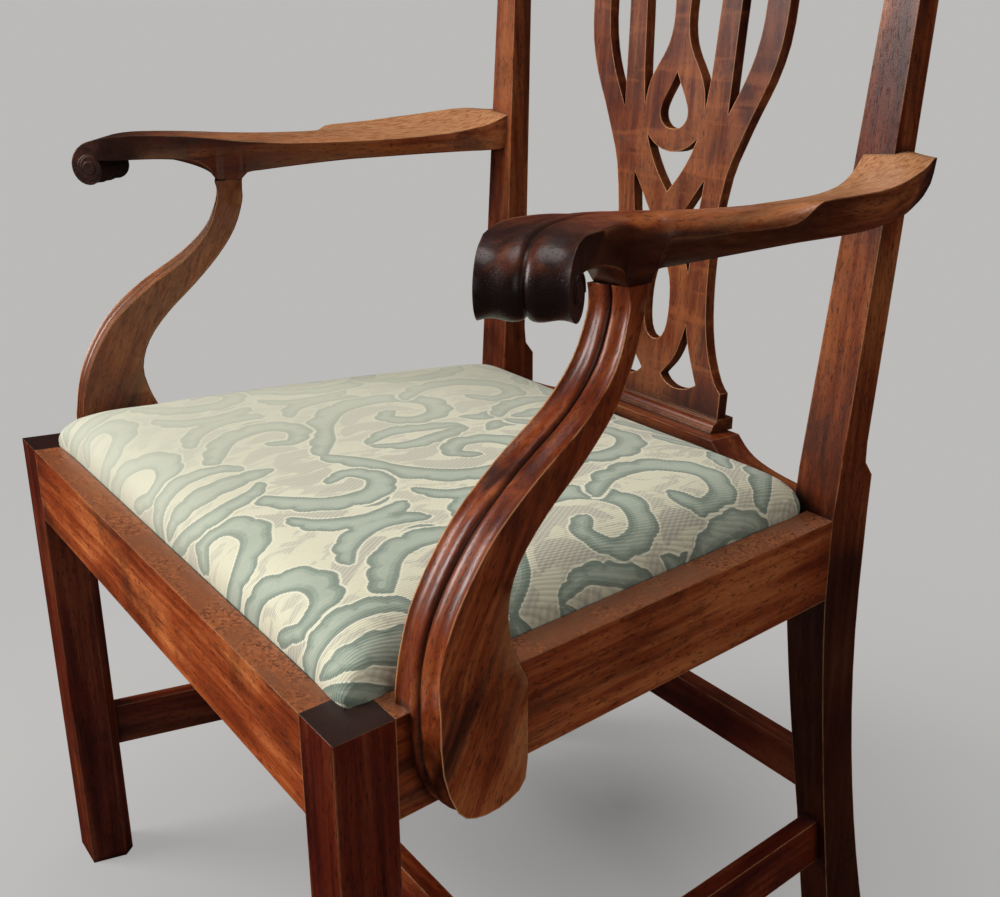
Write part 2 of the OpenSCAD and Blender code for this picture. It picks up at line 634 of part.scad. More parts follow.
// Point of section r; u runs from -1 at the inner edge to 1 at the outer edge
function arm_point(r, u, z) =
    let (a = [arm_x(r[0], r[1]), arm_y(r[1])], b = [arm_x(r[2], r[3]), arm_y(r[3])],
        p = (a + b) / 2 + (b - a) / 2 * u * (1 + arm_extra / norm(b - a)))
        [p[0], p[1], z];
function arm_ring(r) =
    let (zi = arm_top + r[4], zo = arm_top + r[5] - 11 + arm_tilt, zb = max(knee_z, arm_under + r[6]),
        h = norm([r[2] - r[0], r[3] - r[1]]) / 2, k = min(max(r[8], 0), 1), m = min(max(r[9], 0), 1) * reed_d,
        low = min(max((arm_under - zb) / 12, 0), 1), e = 1.5 - 1.2 * low, drop = 0.46 * k * (zo - zb),
        ui = -1 + 2 * low / h, uo = 0.96 - r[7] / h, zs = zo - drop, zl = max(knee_z, zb - max(0, r[10])))
    concat(
        [arm_point(r, ui, zb + e), arm_point(r, ui + e / h, zb), arm_point(r, uo - 2 * e / h, zl),
            arm_point(r, uo, zl + e), arm_point(r, uo + 0.6 * (1 - uo), zl + e + 0.45 * (zs - zl - e))],
        [for (p = reeds) let (u = 1 - 2 * p[0], v = max(u, 0))
            arm_point(r, u, zi + (zo - zi) * (1 + u) / 2 - m * p[1] - drop * (1 - sqrt(1 - v * v))
                + k * 1.2 * (1 - u * u))]);

// Radius of the scroll as a share of scroll_r from its top round by its front and its underside to its back
scroll_c = [arm_x(321.9, 104.9), 104.9];
scroll_core = 0.67 * scroll_r;
scroll_turns = smooth([[90, 1.35], [115, 1.2], [140, 1.1], [165, 1.03], [190, 0.985], [220, 0.945], [250, 0.92],
    [280, 0.895], [310, 0.845], [335, 0.785], [360, 0.73]], 2);

// Section of the scroll at angle a and radius r; its outer face is turned less than its inner face
function scroll_ring(a, r) =
    let (t = scroll_turn, h = (scroll_w + arm_extra) / 2)
    [for (q = concat([[-1, 6], [-0.97, 5], [0.95, 5], [0.98, 5.5], [1, 6]],
            [for (p = reeds)
                [1 - 2 * p[0], r + 2 * (1 - p[0]) * max(0, sin(a)) - reed_d * p[1] * min(1, (400 - a) / 160)]]))
        let (f = t - face_turn_less * (1 + q[0]) / 2)
        [scroll_c[0] + q[0] * h * cos(t) - q[1] * cos(a) * sin(f),
            scroll_c[1] + q[0] * h * sin(t) + q[1] * cos(a) * cos(f),
            eye_z + q[1] * sin(a)]];

module arm_sweep() {
    skin(concat([for (r = smooth(arm_rows, 2)) arm_ring(r)],
        [for (s = scroll_turns) scroll_ring(s[0], s[1] * scroll_r)]));
}

// Ridge that winds in from the end of the scroll round its eye
function eye_r(a) = scroll_r * (0.73 - (a - 350) * 0.00135);
eye_ridge = concat(
    [for (a = [350 : 12 : 674]) eye_r(a) * [cos(a), sin(a)]],
    [for (a = [674 : -12 : 350]) (eye_r(a) - 1) * [cos(a), sin(a)]]);

// Core of the scroll, and on each face its ridge and its button
module scroll() {
    h = (scroll_w + arm_extra) / 2;
    translate([scroll_c[0], scroll_c[1], eye_z]) {
        rotate([0, 0, scroll_turn])
            rotate([0, 90, 0])
                cylinder(r = scroll_core, h = 2 * h - 3.6, center = true);
        for (s = [-1, 1])
            translate([s * h * cos(scroll_turn), s * h * sin(scroll_turn), 0])
                rotate([0, 0, scroll_turn - face_turn_less * (s + 1) / 2])
                    rotate([90, 0, 90]) {
                        translate([0, 0, -0.8 - 0.2 * s])
                            linear_extrude(1.6)
                                polygon(eye_ridge);
                        translate([0, 0, -2.2 - 1.8 * s])
                            cylinder(r = scroll_core, h = 3.8);
                        translate([0, 0, -1.95 - 1.05 * s])
                            cylinder(r = 0.34 * scroll_r, h = 3.9);
                    }
    }
}

// Back of the joint under the arm
module arm_knee() {
    along_side()
        box([knee_in + 0.15, knee_out - 0.15], [196, knee_back], [knee_z, arm_under + 3]);
}

module arm() {
    difference() {
        union() {
            arm_sweep();
            scroll();
            arm_knee();
        }
        post_room();
        arm_dowel(fit);
        arm_screw_hole();
    }
}

// Outer face of the post at height z near the arm
function post_at(z) = half_back + post_splay * 0.6 * (z - rail_top) / (arm_under + 30 - rail_top);

// Room in the end of the arm for the post: its front face and its outer face
module post_room() {
    z1 = arm_under - 20;
    z2 = arm_top + 50;
    intersection() {
        translate([0, 700, 0])
            rotate([90, 0, 0])
                linear_extrude(400)
                    polygon([[150, z1], [post_at(z1), z1], [post_at(z2), z2], [150, z2]]);
        translate([150, 0, 0])
            rotate([90, 0, 90])
                linear_extrude(150)
                    polygon([[post_front(z1), z1], [700, z1], [700, z2], [post_front(z2), z2]]);
    }
}

// SCREWS

// Countersunk wood screw along +Z from its head, grown by g for its hole
module wood_screw(len, g = 0) {
    rotate_extrude()
        polygon([[0, -g], [screw_d * 0.95 + g, -g], [screw_d * 0.95 + g, 0.4], [screw_d / 2 + g, screw_d * 0.55],
            [screw_d / 2 + g, len - 6], [screw_d * 0.38 + g, len - 5], [screw_d * 0.38 + g, len - 2 + g],
            [0, len + g]]);
}

module slotted_screw(len) {
    difference() {
        wood_screw(len);
        translate([-screw_d, -0.4, -1])
            cube([2 * screw_d, 0.8, 2]);
    }
}

screw_places = [[88, ledge - 14], [103, ledge - 34]];
module support_screws(g = 0) {
    for (p = screw_places)
        translate([side_x(p[0]) - rail_t, p[0], p[1]])
            rotate([0, 90, atan((seat_front_w - seat_back_w) / 2 / seat_d)])
                if (g > 0)
                    wood_screw(rail_t + support_lap * 0.6, g);
                else
                    slotted_screw(rail_t + support_lap * 0.6);
}

arm_screw_z = arm_under + 11;
arm_screw_x = half_back - 3;
arm_screw_head = post_front(arm_screw_z) + 13;
arm_screw_l = 34;
module arm_screw_hole() {
    translate([arm_screw_x, arm_screw_head, arm_screw_z])
        rotate([90, 0, 0])
            wood_screw(arm_screw_l, 0.1);
}

module arm_plug_hole(g = 0.05) {
    translate([arm_screw_x, arm_screw_head + 0.3, arm_screw_z])
        rotate([-90, 0, 0])
            cylinder(d = 11 + 2 * g, h = 20);
}

module arm_screw() {
    translate([arm_screw_x, arm_screw_head, arm_screw_z])
        rotate([90, 0, 0])
            slotted_screw(arm_screw_l);
}

module arm_plug() {
    intersection() {
        arm_plug_hole(0);
        post_body();
    }
}

// STRETCHERS

module side_stretcher() {
    z1 = stretcher_top - stretcher_h;
    difference() {
        side_bar(leg_w, leg_front(z1) + 8, 4, 4 + stretcher_t, z1, stretcher_top);
        post_body();
        middle_tenon(fit);
    }
    side_stretcher_front_tenon();
    side_stretcher_back_tenon();
}

module middle_tenon(g = 0) {
    x = side_x(middle_y + middle_t / 2) - 4 - stretcher_t;
    box([x - 4, x + 8 + g], [middle_y + (middle_t - str_tenon_t) / 2 - g, middle_y + (middle_t + str_tenon_t) / 2 + g],
        [stretcher_top - stretcher_h + 6 - g, stretcher_top - 6 + g]);
}

module middle_stretcher() {
    inset = 4 + stretcher_t;
    y2 = middle_y + middle_t;
    translate([0, 0, stretcher_top - stretcher_h])
        linear_extrude(stretcher_h)
            polygon([[side_x(middle_y) - inset, middle_y], [side_x(y2) - inset, y2],
                [inset - side_x(y2), y2], [inset - side_x(middle_y), middle_y]]);
    middle_tenon();
    on_left()
        middle_tenon();
}

module back_stretcher() {
    difference() {
        box([-half_back + foot_w - 8, half_back - foot_w + 8], [back_stretcher_y, back_stretcher_y + back_stretcher_t],
            [back_stretcher_top - back_stretcher_h, back_stretcher_top]);
        post_body();
        on_left()
            post_body();
    }
    back_stretcher_tenon();
    on_left()
        back_stretcher_tenon();
}

// CORNER BLOCKS

block_z = [rail_bot + 4, ledge - 8];
module front_corner_block() {
    y2 = 72;
    translate([0, 0, block_z[0]])
        linear_extrude(block_z[1] - block_z[0])
            polygon([[side_x(rail_t) - leg_w - 36, rail_t], [side_x(rail_t) - leg_w, rail_t],
                [side_x(leg_w) - leg_w, leg_w], [side_x(leg_w) - rail_t, leg_w], [side_x(y2) - rail_t, y2]]);
}

module back_corner_block() {
    y1 = seat_d - back_ledge - 42;
    y2 = seat_d - back_ledge;
    translate([0, 0, block_z[0]])
        linear_extrude(block_z[1] - block_z[0])
            polygon([[side_x(y1) - rail_t, y1], [side_x(y2) - rail_t, y2], [side_x(y2) - rail_t - 42, y2]]);
}

// DROP-IN SEAT

// Corners of the seat opening drawn in by d on every side: front and back depth
function seat_y1(d) = lip_front + d;
function seat_y2(d) = seat_d - d;
function seat_x(y, d) = side_x(y) - lip_side - d;
frame_in = seat_gap + cover_t + 0.3;
frame_z = ledge + cover_t + 0.6;
frame_top = frame_z + seat_frame_t;

// Rounded outline of the pad, its sides drawn in a little between the corners
pad_corner = 14;
pad_draw = 1.2;
function pad_outline(d) =
    let (y1 = seat_y1(d), y2 = seat_y2(d), r = pad_corner, xa = seat_x(y1, d), xb = seat_x(y2, d))
    concat(
        [for (t = [-3 : 3]) [t / 3 * (xa - r), y1 + pad_draw * (1 - t * t / 9)]],
        [for (a = [-67.5 : 22.5 : -22.5]) [xa - r + r * cos(a), y1 + r + r * sin(a)]],
        [for (t = [0 : 6]) let (y = y1 + r + (y2 - y1 - 2 * r) * t / 6)
            [seat_x(y, d) - pad_draw * (1 - pow(t / 3 - 1, 2)), y]],
        [for (a = [22.5 : 22.5 : 67.5]) [xb - r + r * cos(a), y2 - r + r * sin(a)]],
        [for (t = [3 : -1 : -3]) [t / 3 * (xb - r), y2 - pad_draw * (1 - t * t / 9)]],
        [for (a = [112.5 : 22.5 : 157.5]) [r - xb + r * cos(a), y2 - r + r * sin(a)]],
        [for (t = [6 : -1 : 0]) let (y = y1 + r + (y2 - y1 - 2 * r) * t / 6)
            [-seat_x(y, d) + pad_draw * (1 - pow(t / 3 - 1, 2)), y]],
        [for (a = [202.5 : 22.5 : 247.5]) [r - xa + r * cos(a), y1 + r + r * sin(a)]]);

// Steps of the crown: distance in from the edge and share of its height
pad_dome = [[0, 0], [0, 0.2], [0.8, 0.36], [3, 0.5], [7, 0.62], [13, 0.72], [23, 0.81], [42, 0.89], [75, 0.96],
    [130, 1]];
pad_mid = [0, (lip_front + seat_d) / 2];

// The pad stands a little fuller in its middle than in its corners
function pad_swell(p) = 1.06 - 0.16 * pow((p[1] - pad_mid[1]) / (pad_mid[1] - lip_front), 2)
    - 0.04 * pow(2 * p[0] / seat_front_w, 2);

// A crowned pad between its flat underside and its dome
module pad(d, z1, z2, crown) {
    skin(concat([[for (p = pad_outline(d)) [p[0], p[1], z1]]],
        [for (s = pad_dome) [for (p = pad_outline(d + s[0])) [p[0], p[1], z2 + crown * s[1] * pad_swell(p)]]]));
}

dome_z = rail_top - 2;
dome_h = crown_h + 2;
module seat_cover() {
    difference() {
        pad(seat_gap, ledge + 0.3, dome_z, dome_h);
        pad(seat_gap + cover_t, frame_z - 0.3, dome_z, dome_h - cover_t);
        translate([0, 0, ledge - 1])
            linear_extrude(3)
                polygon(pad_outline(22));
        cover_tacks(0.05);
    }
}

hessian_z = frame_top + 3 * web_t + 0.65;
module seat_stuffing() {
    intersection() {
        pad(seat_gap + cover_t + 0.3, frame_z, dome_z, dome_h - cover_t - 0.4);
        box([-400, 400], [-50, 600], [hessian_z + 1.3, rail_top + 200]);
    }
}

module seat_hessian() {
    translate([0, 0, hessian_z])
        linear_extrude(1)
            polygon(pad_outline(frame_in + 4));
}

module seat_bottom_linen() {
    translate([0, 0, ledge + 0.5])
        linear_extrude(0.6)
            polygon(pad_outline(22.5));
}

fy1 = seat_y1(frame_in);
fy2 = seat_y2(frame_in);

// Room inside the cover for the seat's frame, its corners rounded as the pad's are
module frame_room() {
    translate([0, 0, frame_z - 1])
        linear_extrude(seat_frame_t + 2)
            polygon(pad_outline(frame_in));
}

// Front and back rails of the seat's frame run through, with open mortises for the side rails
module frame_cross(y1, y2) {
    intersection() {
        frame_room();
        box([-seat_front_w / 2, seat_front_w / 2], [y1, y2], [frame_z, frame_top]);
    }
}

module frame_side_body(y1, y2, z1, z2, in1, in2) {
    translate([0, 0, z1])
        linear_extrude(z2 - z1)
            polygon([[seat_x(y1, in1), y1], [seat_x(y2, in1), y2], [seat_x(y2, in2), y2], [seat_x(y1, in2), y1]]);
}

module frame_side_tenons(g = 0) {
    third = seat_frame_t / 3;
    for (y = [[fy1 + 20 - g, fy1 + seat_frame_w + 1], [fy2 - seat_frame_w - 1, fy2 - 20 + g]])
        frame_side_body(y[0], y[1], frame_z + third - g, frame_z + 2 * third + g, frame_in + 9 - g,
            frame_in + seat_frame_w - 8 + g);
}

module seat_frame_front() {
    difference() {
        frame_cross(fy1, fy1 + seat_frame_w);
        frame_side_tenons(fit);
        on_left()
            frame_side_tenons(fit);
        cover_tacks(0.05);
    }
}

module seat_frame_back() {
    difference() {
        frame_cross(fy2 - seat_frame_w, fy2);
        frame_side_tenons(fit);
        on_left()
            frame_side_tenons(fit);
        cover_tacks(0.05);
    }
}

module seat_frame_side() {
    difference() {
        intersection() {
            frame_room();
            frame_side_body(fy1 + seat_frame_w, fy2 - seat_frame_w, frame_z, frame_top, frame_in,
                frame_in + seat_frame_w);
        }
        cover_tacks(0.05);
    }
    frame_side_tenons();
}

web_pitch = 95;
web_x = [-web_pitch, 0, web_pitch];
web_y = [pad_mid[1] - web_pitch, pad_mid[1], pad_mid[1] + web_pitch];

web_low = frame_top + 0.05;
web_mid = web_low + web_t + 0.1;
web_high = web_mid + web_t + 0.1;

// A flat band of webbing in profile: its underside through the points, web_t thick
module web_profile(line) {
    polygon(concat(line, [for (i = [len(line) - 1 : -1 : 0]) [line[i][0], line[i][1] + web_t]]));
}

// Bands from the front rail to the back rail of the seat's frame, nailed down at both ends
module webbing_lengthwise() {
    y1 = fy1 + 8;
    y2 = fy2 - 8;
    n = seat_frame_w - 20;
    for (x = web_x)
        translate([x - web_w / 2, 0, 0])
            rotate([90, 0, 90])
                linear_extrude(web_w)
                    web_profile([[y1, web_low], [y1 + n, web_low], [y1 + n + 8, web_mid], [y2 - n - 8, web_mid],
                        [y2 - n, web_low], [y2, web_low]]);
}

// Bands that pass over and under the lengthwise ones by turns
module webbing_crosswise() {
    half = web_w / 2 + 3;
    for (k = [0 : 2]) {
        y = web_y[k];
        end = seat_x(y, frame_in + 10);
        side = k % 2 == 0 ? web_high : web_low;
        centre = k % 2 == 0 ? web_low : web_high;
        right = [[half, centre], [web_pitch - half, side], [web_pitch + half, side], [web_pitch + half + 12, web_low],
            [end, web_low]];
        translate([0, y + web_w / 2, 0])
            rotate([90, 0, 0])
                linear_extrude(web_w)
                    web_profile(concat(mirrored(right), right));
    }
}

// Tacks through the turned-in edge of the cover, spaced evenly on each side
tack_pitch = 60;
module cover_tacks(g = 0) {
    d = 17;
    xa = seat_x(seat_y1(d), d);
    xb = seat_x(seat_y2(d), d);
    for (x = [-3 : 3]) {
        tack([x * tack_pitch, seat_y1(d)], g);
        tack([x * tack_pitch * 0.8, seat_y2(d)], g);
    }
    for (k = [1 : 5], s = [-1, 1])
        let (y = seat_y1(0) + 8 + k * tack_pitch)
            tack([s * seat_x(y, d), y], g);
}

module tack(p, g) {
    translate([p[0], p[1], ledge + 0.35])
        rotate_extrude()
            polygon([[0, -g], [2.6 + g, -g], [2.6 + g, 0.5 + g], [0.8 + g, 0.5 + g], [0.8 + g, 8], [0, 10 + g]]);
}

// PARTS

placed() color(wood) front_leg();  // front_leg_right
placed() on_left() color(wood) front_leg();  // front_leg_left
placed() color(wood) back_post();  // back_post_right
placed() on_left() color(wood) back_post();  // back_post_left
placed() color(wood) front_rail();
placed() color(wood) side_rail();  // side_rail_right
placed() on_left() color(wood) side_rail();  // side_rail_left
placed() color(wood) back_rail();
placed() color(wood) splat_shoe();
placed() color(wood) splat();
placed() color(wood) crest_rail();
placed() color(wood) arm();  // arm_right
placed() on_left() color(wood) arm();  // arm_left
placed() color(wood) arm_support();  // arm_support_right
placed() on_left() color(wood) arm_support();  // arm_support_left
placed() color(wood) side_stretcher();  // side_stretcher_right
placed() on_left() color(wood) side_stretcher();  // side_stretcher_left
placed() color(wood) middle_stretcher();
placed() color(wood) back_stretcher();
placed() color(inner_wood) front_corner_block();  // front_corner_block_right
placed() on_left() color(inner_wood) front_corner_block();  // front_corner_block_left
placed() color(inner_wood) back_corner_block();  // back_corner_block_right
placed() on_left() color(inner_wood) back_corner_block();  // back_corner_block_left
placed() color(steel) { support_screws(); on_left() support_screws(); }
placed() color(steel) { arm_screw(); on_left() arm_screw(); }  // arm_screws
placed() color(wood) { arm_plug(); on_left() arm_plug(); }  // arm_screw_plugs
placed() color(inner_wood) seat_frame_front();
placed() color(inner_wood) seat_frame_back();
placed() color(inner_wood) seat_frame_side();  // seat_frame_right
placed() on_left() color(inner_wood) seat_frame_side();  // seat_frame_left
placed() color("#8d7a5c") webbing_lengthwise();
placed() color("#8d7a5c") webbing_crosswise();
placed() color("#a38a5f") seat_hessian();
placed() color("#d8cbb0") seat_stuffing();
placed() color("#c3c4a3") seat_cover();
placed() color("#3a3733") seat_bottom_linen();
placed() color(steel) cover_tacks();
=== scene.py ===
# %% [markdown]
# # An open-arm dining chair in waxed mahogany
# The joiner's measurements live in the CAD frame: legs, rails, splat, arms and the loose seat. This
# script dresses that frame. It gives each piece of wood its own run of grain and its own wear,
# upholsters the seat with a figured ribbed cloth, and sets the chair on a pale studio floor.
# The frame is loaded first, because every later step takes its places from it.

# %% Load the frame and note its size
import math
import bmesh
import bpy
import numpy as np
from mathutils import Matrix, Vector


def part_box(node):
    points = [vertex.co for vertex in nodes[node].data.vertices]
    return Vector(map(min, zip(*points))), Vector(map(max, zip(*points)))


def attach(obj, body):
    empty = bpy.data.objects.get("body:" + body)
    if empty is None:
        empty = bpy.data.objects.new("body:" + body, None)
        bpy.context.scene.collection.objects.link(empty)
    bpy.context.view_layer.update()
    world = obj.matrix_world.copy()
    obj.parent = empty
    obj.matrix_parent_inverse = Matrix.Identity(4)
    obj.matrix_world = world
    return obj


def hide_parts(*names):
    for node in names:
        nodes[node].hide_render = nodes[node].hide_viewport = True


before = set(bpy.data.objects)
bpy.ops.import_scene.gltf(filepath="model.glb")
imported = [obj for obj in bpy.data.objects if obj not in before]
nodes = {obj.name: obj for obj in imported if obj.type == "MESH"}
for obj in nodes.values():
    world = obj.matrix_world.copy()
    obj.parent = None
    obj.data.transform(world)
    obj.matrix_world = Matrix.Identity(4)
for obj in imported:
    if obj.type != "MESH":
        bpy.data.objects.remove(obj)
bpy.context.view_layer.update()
scene = bpy.context.scene

# %% [markdown]
# ## The camera
# The view was worked out from the straight edges of legs, rails and stretchers, so its place and
# lens are plain numbers in the chair's own frame. The turn of the camera is built from three axes:
# where it looks, its right hand and its up, which is easier to read than three angles. The small
# shift puts the optical centre where the picture's framing has it.

# %% Camera at the solved place
camera = bpy.data.objects.new("camera", bpy.data.cameras.new("camera"))
scene.collection.objects.link(camera)
scene.camera = camera
look_yaw, look_pitch, look_roll = 1.0014, 0.3689, -0.0123
picture_wide, picture_half_high = 1000, 448.5
focal_length, optical_centre = 1276.5, (479.57, 496.81)
look = Vector((-math.sin(look_yaw) * math.cos(look_pitch),
               math.cos(look_yaw) * math.cos(look_pitch), -math.sin(look_pitch)))
level = Vector((math.cos(look_yaw), math.sin(look_yaw), 0))
above = level.cross(look)
right_hand = level * math.cos(look_roll) + above * math.sin(look_roll)
upright = above * math.cos(look_roll) - level * math.sin(look_roll)
turned = Matrix((right_hand, upright, -look)).transposed().to_4x4()
camera.matrix_world = Matrix.Translation((0.8098, -0.5016, 0.7732)) @ turned
camera.data.sensor_width = 36
camera.data.lens = 36 * focal_length / picture_wide
camera.data.shift_x = (picture_wide / 2 - optical_centre[0]) / picture_wide
camera.data.shift_y = (optical_centre[1] - picture_half_high) / picture_wide
camera.data.clip_start = 0.05
print("lens:", round(camera.data.lens, 2), "mm")

# %% [markdown]
# ## Small helpers for finishes
# A finish is a tree of nodes. Adding a node, setting its values and joining it to the ones before
# it takes three lines each time, so one helper does all three. The others cover the nodes that
# are used most: a sum on numbers, a ramp from a number to a colour, a soft step between two
# values, a mix of two colours, and a colour from its three shares.

# %% Helpers that add one node each
def add(tree, kind, inputs=(), **settings):
    made = tree.nodes.new(kind)
    for name, value in settings.items():
        setattr(made, name, value)
    for key, value in dict(inputs).items():
        if isinstance(value, bpy.types.NodeSocket):
            tree.links.new(value, made.inputs[key])
        else:
            made.inputs[key].default_value = value
    return made


def sum_of(tree, operation, first, second=0.5, third=0.0, clamp=False):
    return add(tree, "ShaderNodeMath", {0: first, 1: second, 2: third},
               operation=operation, use_clamp=clamp).outputs[0]


def ramp(tree, value, stops):
    made = add(tree, "ShaderNodeValToRGB", {0: value})
    while len(made.color_ramp.elements) < len(stops):
        made.color_ramp.elements.new(0.5)
    for element, (place, colour) in zip(made.color_ramp.elements, stops):
        element.position = place
        element.color = (*colour, 1) if not isinstance(colour, (int, float)) else (colour, colour, colour, 1)
    return made.outputs[0]


def step(tree, value, low, high):
    return add(tree, "ShaderNodeMapRange", {0: value, 1: low, 2: high},
               interpolation_type="SMOOTHSTEP").outputs[0]


def tint(tree, share, first, second):
    return add(tree, "ShaderNodeMix", {0: share, 6: first, 7: second},
               data_type="RGBA").outputs[2]


def colour(r, g, b):
    return (r, g, b, 1.0)


print("helpers ready")

# %% [markdown]
# ## Mahogany
# The wood is a warm red-brown with fine stripes along the grain, short dark pores, broad lighter
# clouds, a waxed surface, arrises rubbed bright by hands, and corners darkened partly by old polish
# and partly by painted shade. One function makes it for any piece: it turns the coordinates until
# the grain runs along X and then stretches noise along X. Edges are found with a Bevel node, whose
# rounded normal leans away from the true one only near an arris, and corners with ambient
# occlusion, which also paints shade where parts close in. Both are worked out on the surface
# itself, so the wear and the painted shade stay in place from every side. The further options are
# for single pieces: a bare speckled lip, a black leg top, a stained scroll, an end bleached by
# the sun, sides darkened partly by stain and partly by painted shade, painted shade low down on a
# piece, a ripple in the figure, and a joint where no arris is rubbed.

# %% A function for every piece of mahogany
def mahogany(name, grain, deep, middle, bright, place=(0, 0, 0), worn=0.55, roughness=0.34, rubbed_top=None,
             black_top=None, dark_spot=None, painted_low_shade=None, sides_stain_and_shade=None, pale_end=None, joint_at=None,
             stained=0.55, ribbon=0.0, relief=0.35, curl=0.5):
    finish = bpy.data.materials.new(name)
    finish.use_nodes = True
    tree = finish.node_tree
    shader = tree.nodes["Principled BSDF"]
    turn = Vector(grain).rotation_difference(Vector((1, 0, 0))).to_euler()
    here = add(tree, "ShaderNodeTexCoord").outputs["Object"]
    board = add(tree, "ShaderNodeMapping", {"Vector": here, "Rotation": turn, "Location": place}).outputs[0]

    def grain_noise(along, across, detail, rough=0.55, warp=0.0):
        stretched = add(tree, "ShaderNodeMapping", {"Vector": board,
                                                    "Scale": (along, across, across)}).outputs[0]
        return add(tree, "ShaderNodeTexNoise", {"Vector": stretched, "Scale": 1.0, "Detail": detail,
                                                "Roughness": rough, "Distortion": warp}).outputs[0]

    stripes = grain_noise(5, 120, 5, 0.62)
    clouds = grain_noise(7, 17, 2, 0.5, curl)
    pores = step(tree, grain_noise(95, 1500, 1), 0.61, 0.72)
    smears = add(tree, "ShaderNodeTexNoise", {"Vector": board, "Scale": 30.0, "Detail": 4.0,
                                              "Roughness": 0.6}).outputs[0]
    mixed = sum_of(tree, "ADD", sum_of(tree, "MULTIPLY", stripes, 0.6),
                   sum_of(tree, "MULTIPLY", clouds, 0.55))
    wood = ramp(tree, mixed, [(0.42, deep), (0.57, middle), (0.72, bright)])
    # A near-black brown, used for old polish and stain and also for painted shade below.
    polish_and_shade_dark = colour(0.02, 0.004, 0.002)
    streaks = step(tree, grain_noise(4, 38, 3, 0.6, curl), 0.52, 0.7)
    wood = tint(tree, sum_of(tree, "MULTIPLY", streaks, stained), wood, polish_and_shade_dark)
    if ribbon:
        slant = add(tree, "ShaderNodeMapping", {"Vector": here, "Rotation": (0, math.radians(38), 0),
                                                "Scale": (9, 9, 75)}).outputs[0]
        bands = add(tree, "ShaderNodeTexNoise", {"Vector": slant, "Scale": 1.0, "Detail": 3.0,
                                                 "Distortion": 0.8}).outputs[0]
        wood = tint(tree, sum_of(tree, "MULTIPLY", step(tree, bands, 0.5, 0.66), ribbon), wood,
                    colour(*[c * 1.6 for c in bright]))
    patina = add(tree, "ShaderNodeTexNoise", {"Vector": board, "Scale": 11.0, "Detail": 5.0,
                                              "Roughness": 0.66}).outputs[0]
    wood = tint(tree, sum_of(tree, "MULTIPLY", step(tree, patina, 0.5, 0.68), 0.5), wood, polish_and_shade_dark)
    wood = tint(tree, sum_of(tree, "MULTIPLY", pores, 0.7), wood, colour(*[c * 0.2 for c in deep]))
    flecks = step(tree, grain_noise(150, 560, 2, 0.6), 0.56, 0.68)
    wood = tint(tree, sum_of(tree, "MULTIPLY", flecks, 0.55), wood, colour(*[c * 0.25 for c in deep]))

    eased = add(tree, "ShaderNodeBevel", {"Radius": 0.0016}, samples=4).outputs[0]
    facing = add(tree, "ShaderNodeNewGeometry")
    lean = add(tree, "ShaderNodeVectorMath", {0: eased, 1: facing.outputs["True Normal"]},
               operation="DOT_PRODUCT").outputs["Value"]
    arris = step(tree, sum_of(tree, "SUBTRACT", 1.0, lean), 0.02, 0.2)
    open_air = add(tree, "ShaderNodeAmbientOcclusion", {"Distance": 0.02}, samples=4).outputs["AO"]
    rubbing = sum_of(tree, "MULTIPLY", sum_of(tree, "MULTIPLY", arris, step(tree, open_air, 0.5, 0.8)),
                     sum_of(tree, "MULTIPLY", step(tree, smears, 0.28, 0.52), worn), clamp=True)
    height_above = add(tree, "ShaderNodeSeparateXYZ", {0: here}).outputs["Z"]
    normal_up = add(tree, "ShaderNodeSeparateXYZ", {0: facing.outputs["Normal"]}).outputs["Z"]
    if pale_end is not None:
        centre, reach, from_above, strength = pale_end
        away = add(tree, "ShaderNodeVectorMath", {0: here, 1: centre}, operation="DISTANCE").outputs["Value"]
        away = sum_of(tree, "ADD", away,
                      sum_of(tree, "MULTIPLY", sum_of(tree, "SUBTRACT", smears, 0.5), 0.16))
        fleck = grain_noise(90, 420, 4, 0.7)
        rubbed = ramp(tree, fleck, [(0.36, (0.27, 0.1, 0.038)), (0.46, (0.45, 0.2, 0.085)),
                                    (0.62, (0.58, 0.3, 0.145))])
        bleached = step(tree, away, reach, reach * 0.2)
        if from_above:
            bleached = sum_of(tree, "MULTIPLY", bleached, step(tree, normal_up, 0.1, 0.75))
        wood = tint(tree, sum_of(tree, "MULTIPLY", bleached, strength), wood, rubbed)
    # Side faces darken towards the front of the piece: partly dark stain, partly painted shade.
    if sides_stain_and_shade is not None:
        share, full, none = sides_stain_and_shade
        side = sum_of(tree, "MULTIPLY", step(tree, normal_up, 0.75, 0.1), share)
        side = sum_of(tree, "MULTIPLY", side,
                      step(tree, add(tree, "ShaderNodeSeparateXYZ", {0: here}).outputs["Y"], none, full))
        wood = tint(tree, side, wood, polish_and_shade_dark)
    # Painted shade: below a given height the piece darkens, where the seat and the shoe shade it.
    if painted_low_shade is not None:
        start, full, share = painted_low_shade
        low_down = sum_of(tree, "ADD", height_above,
                          sum_of(tree, "MULTIPLY", sum_of(tree, "SUBTRACT", clouds, 0.5), 0.05))
        wood = tint(tree, sum_of(tree, "MULTIPLY", step(tree, low_down, start, full), share), wood,
                    polish_and_shade_dark)
    if joint_at is not None:
        apart = sum_of(tree, "ABSOLUTE", sum_of(tree, "SUBTRACT", height_above, joint_at))
        rubbing = sum_of(tree, "MULTIPLY", rubbing, step(tree, apart, 0.006, 0.012))
    wood = tint(tree, rubbing, wood, colour(0.78, 0.38, 0.16))
    # Within 6 mm of another surface the colour goes towards the near-black brown: partly old polish in the
    # hollows, partly painted shade.
    close_air = add(tree, "ShaderNodeAmbientOcclusion", {"Distance": 0.006}, samples=4).outputs["AO"]
    wood = tint(tree, sum_of(tree, "MULTIPLY", step(tree, close_air, 0.93, 0.55), 0.8), wood, polish_and_shade_dark)
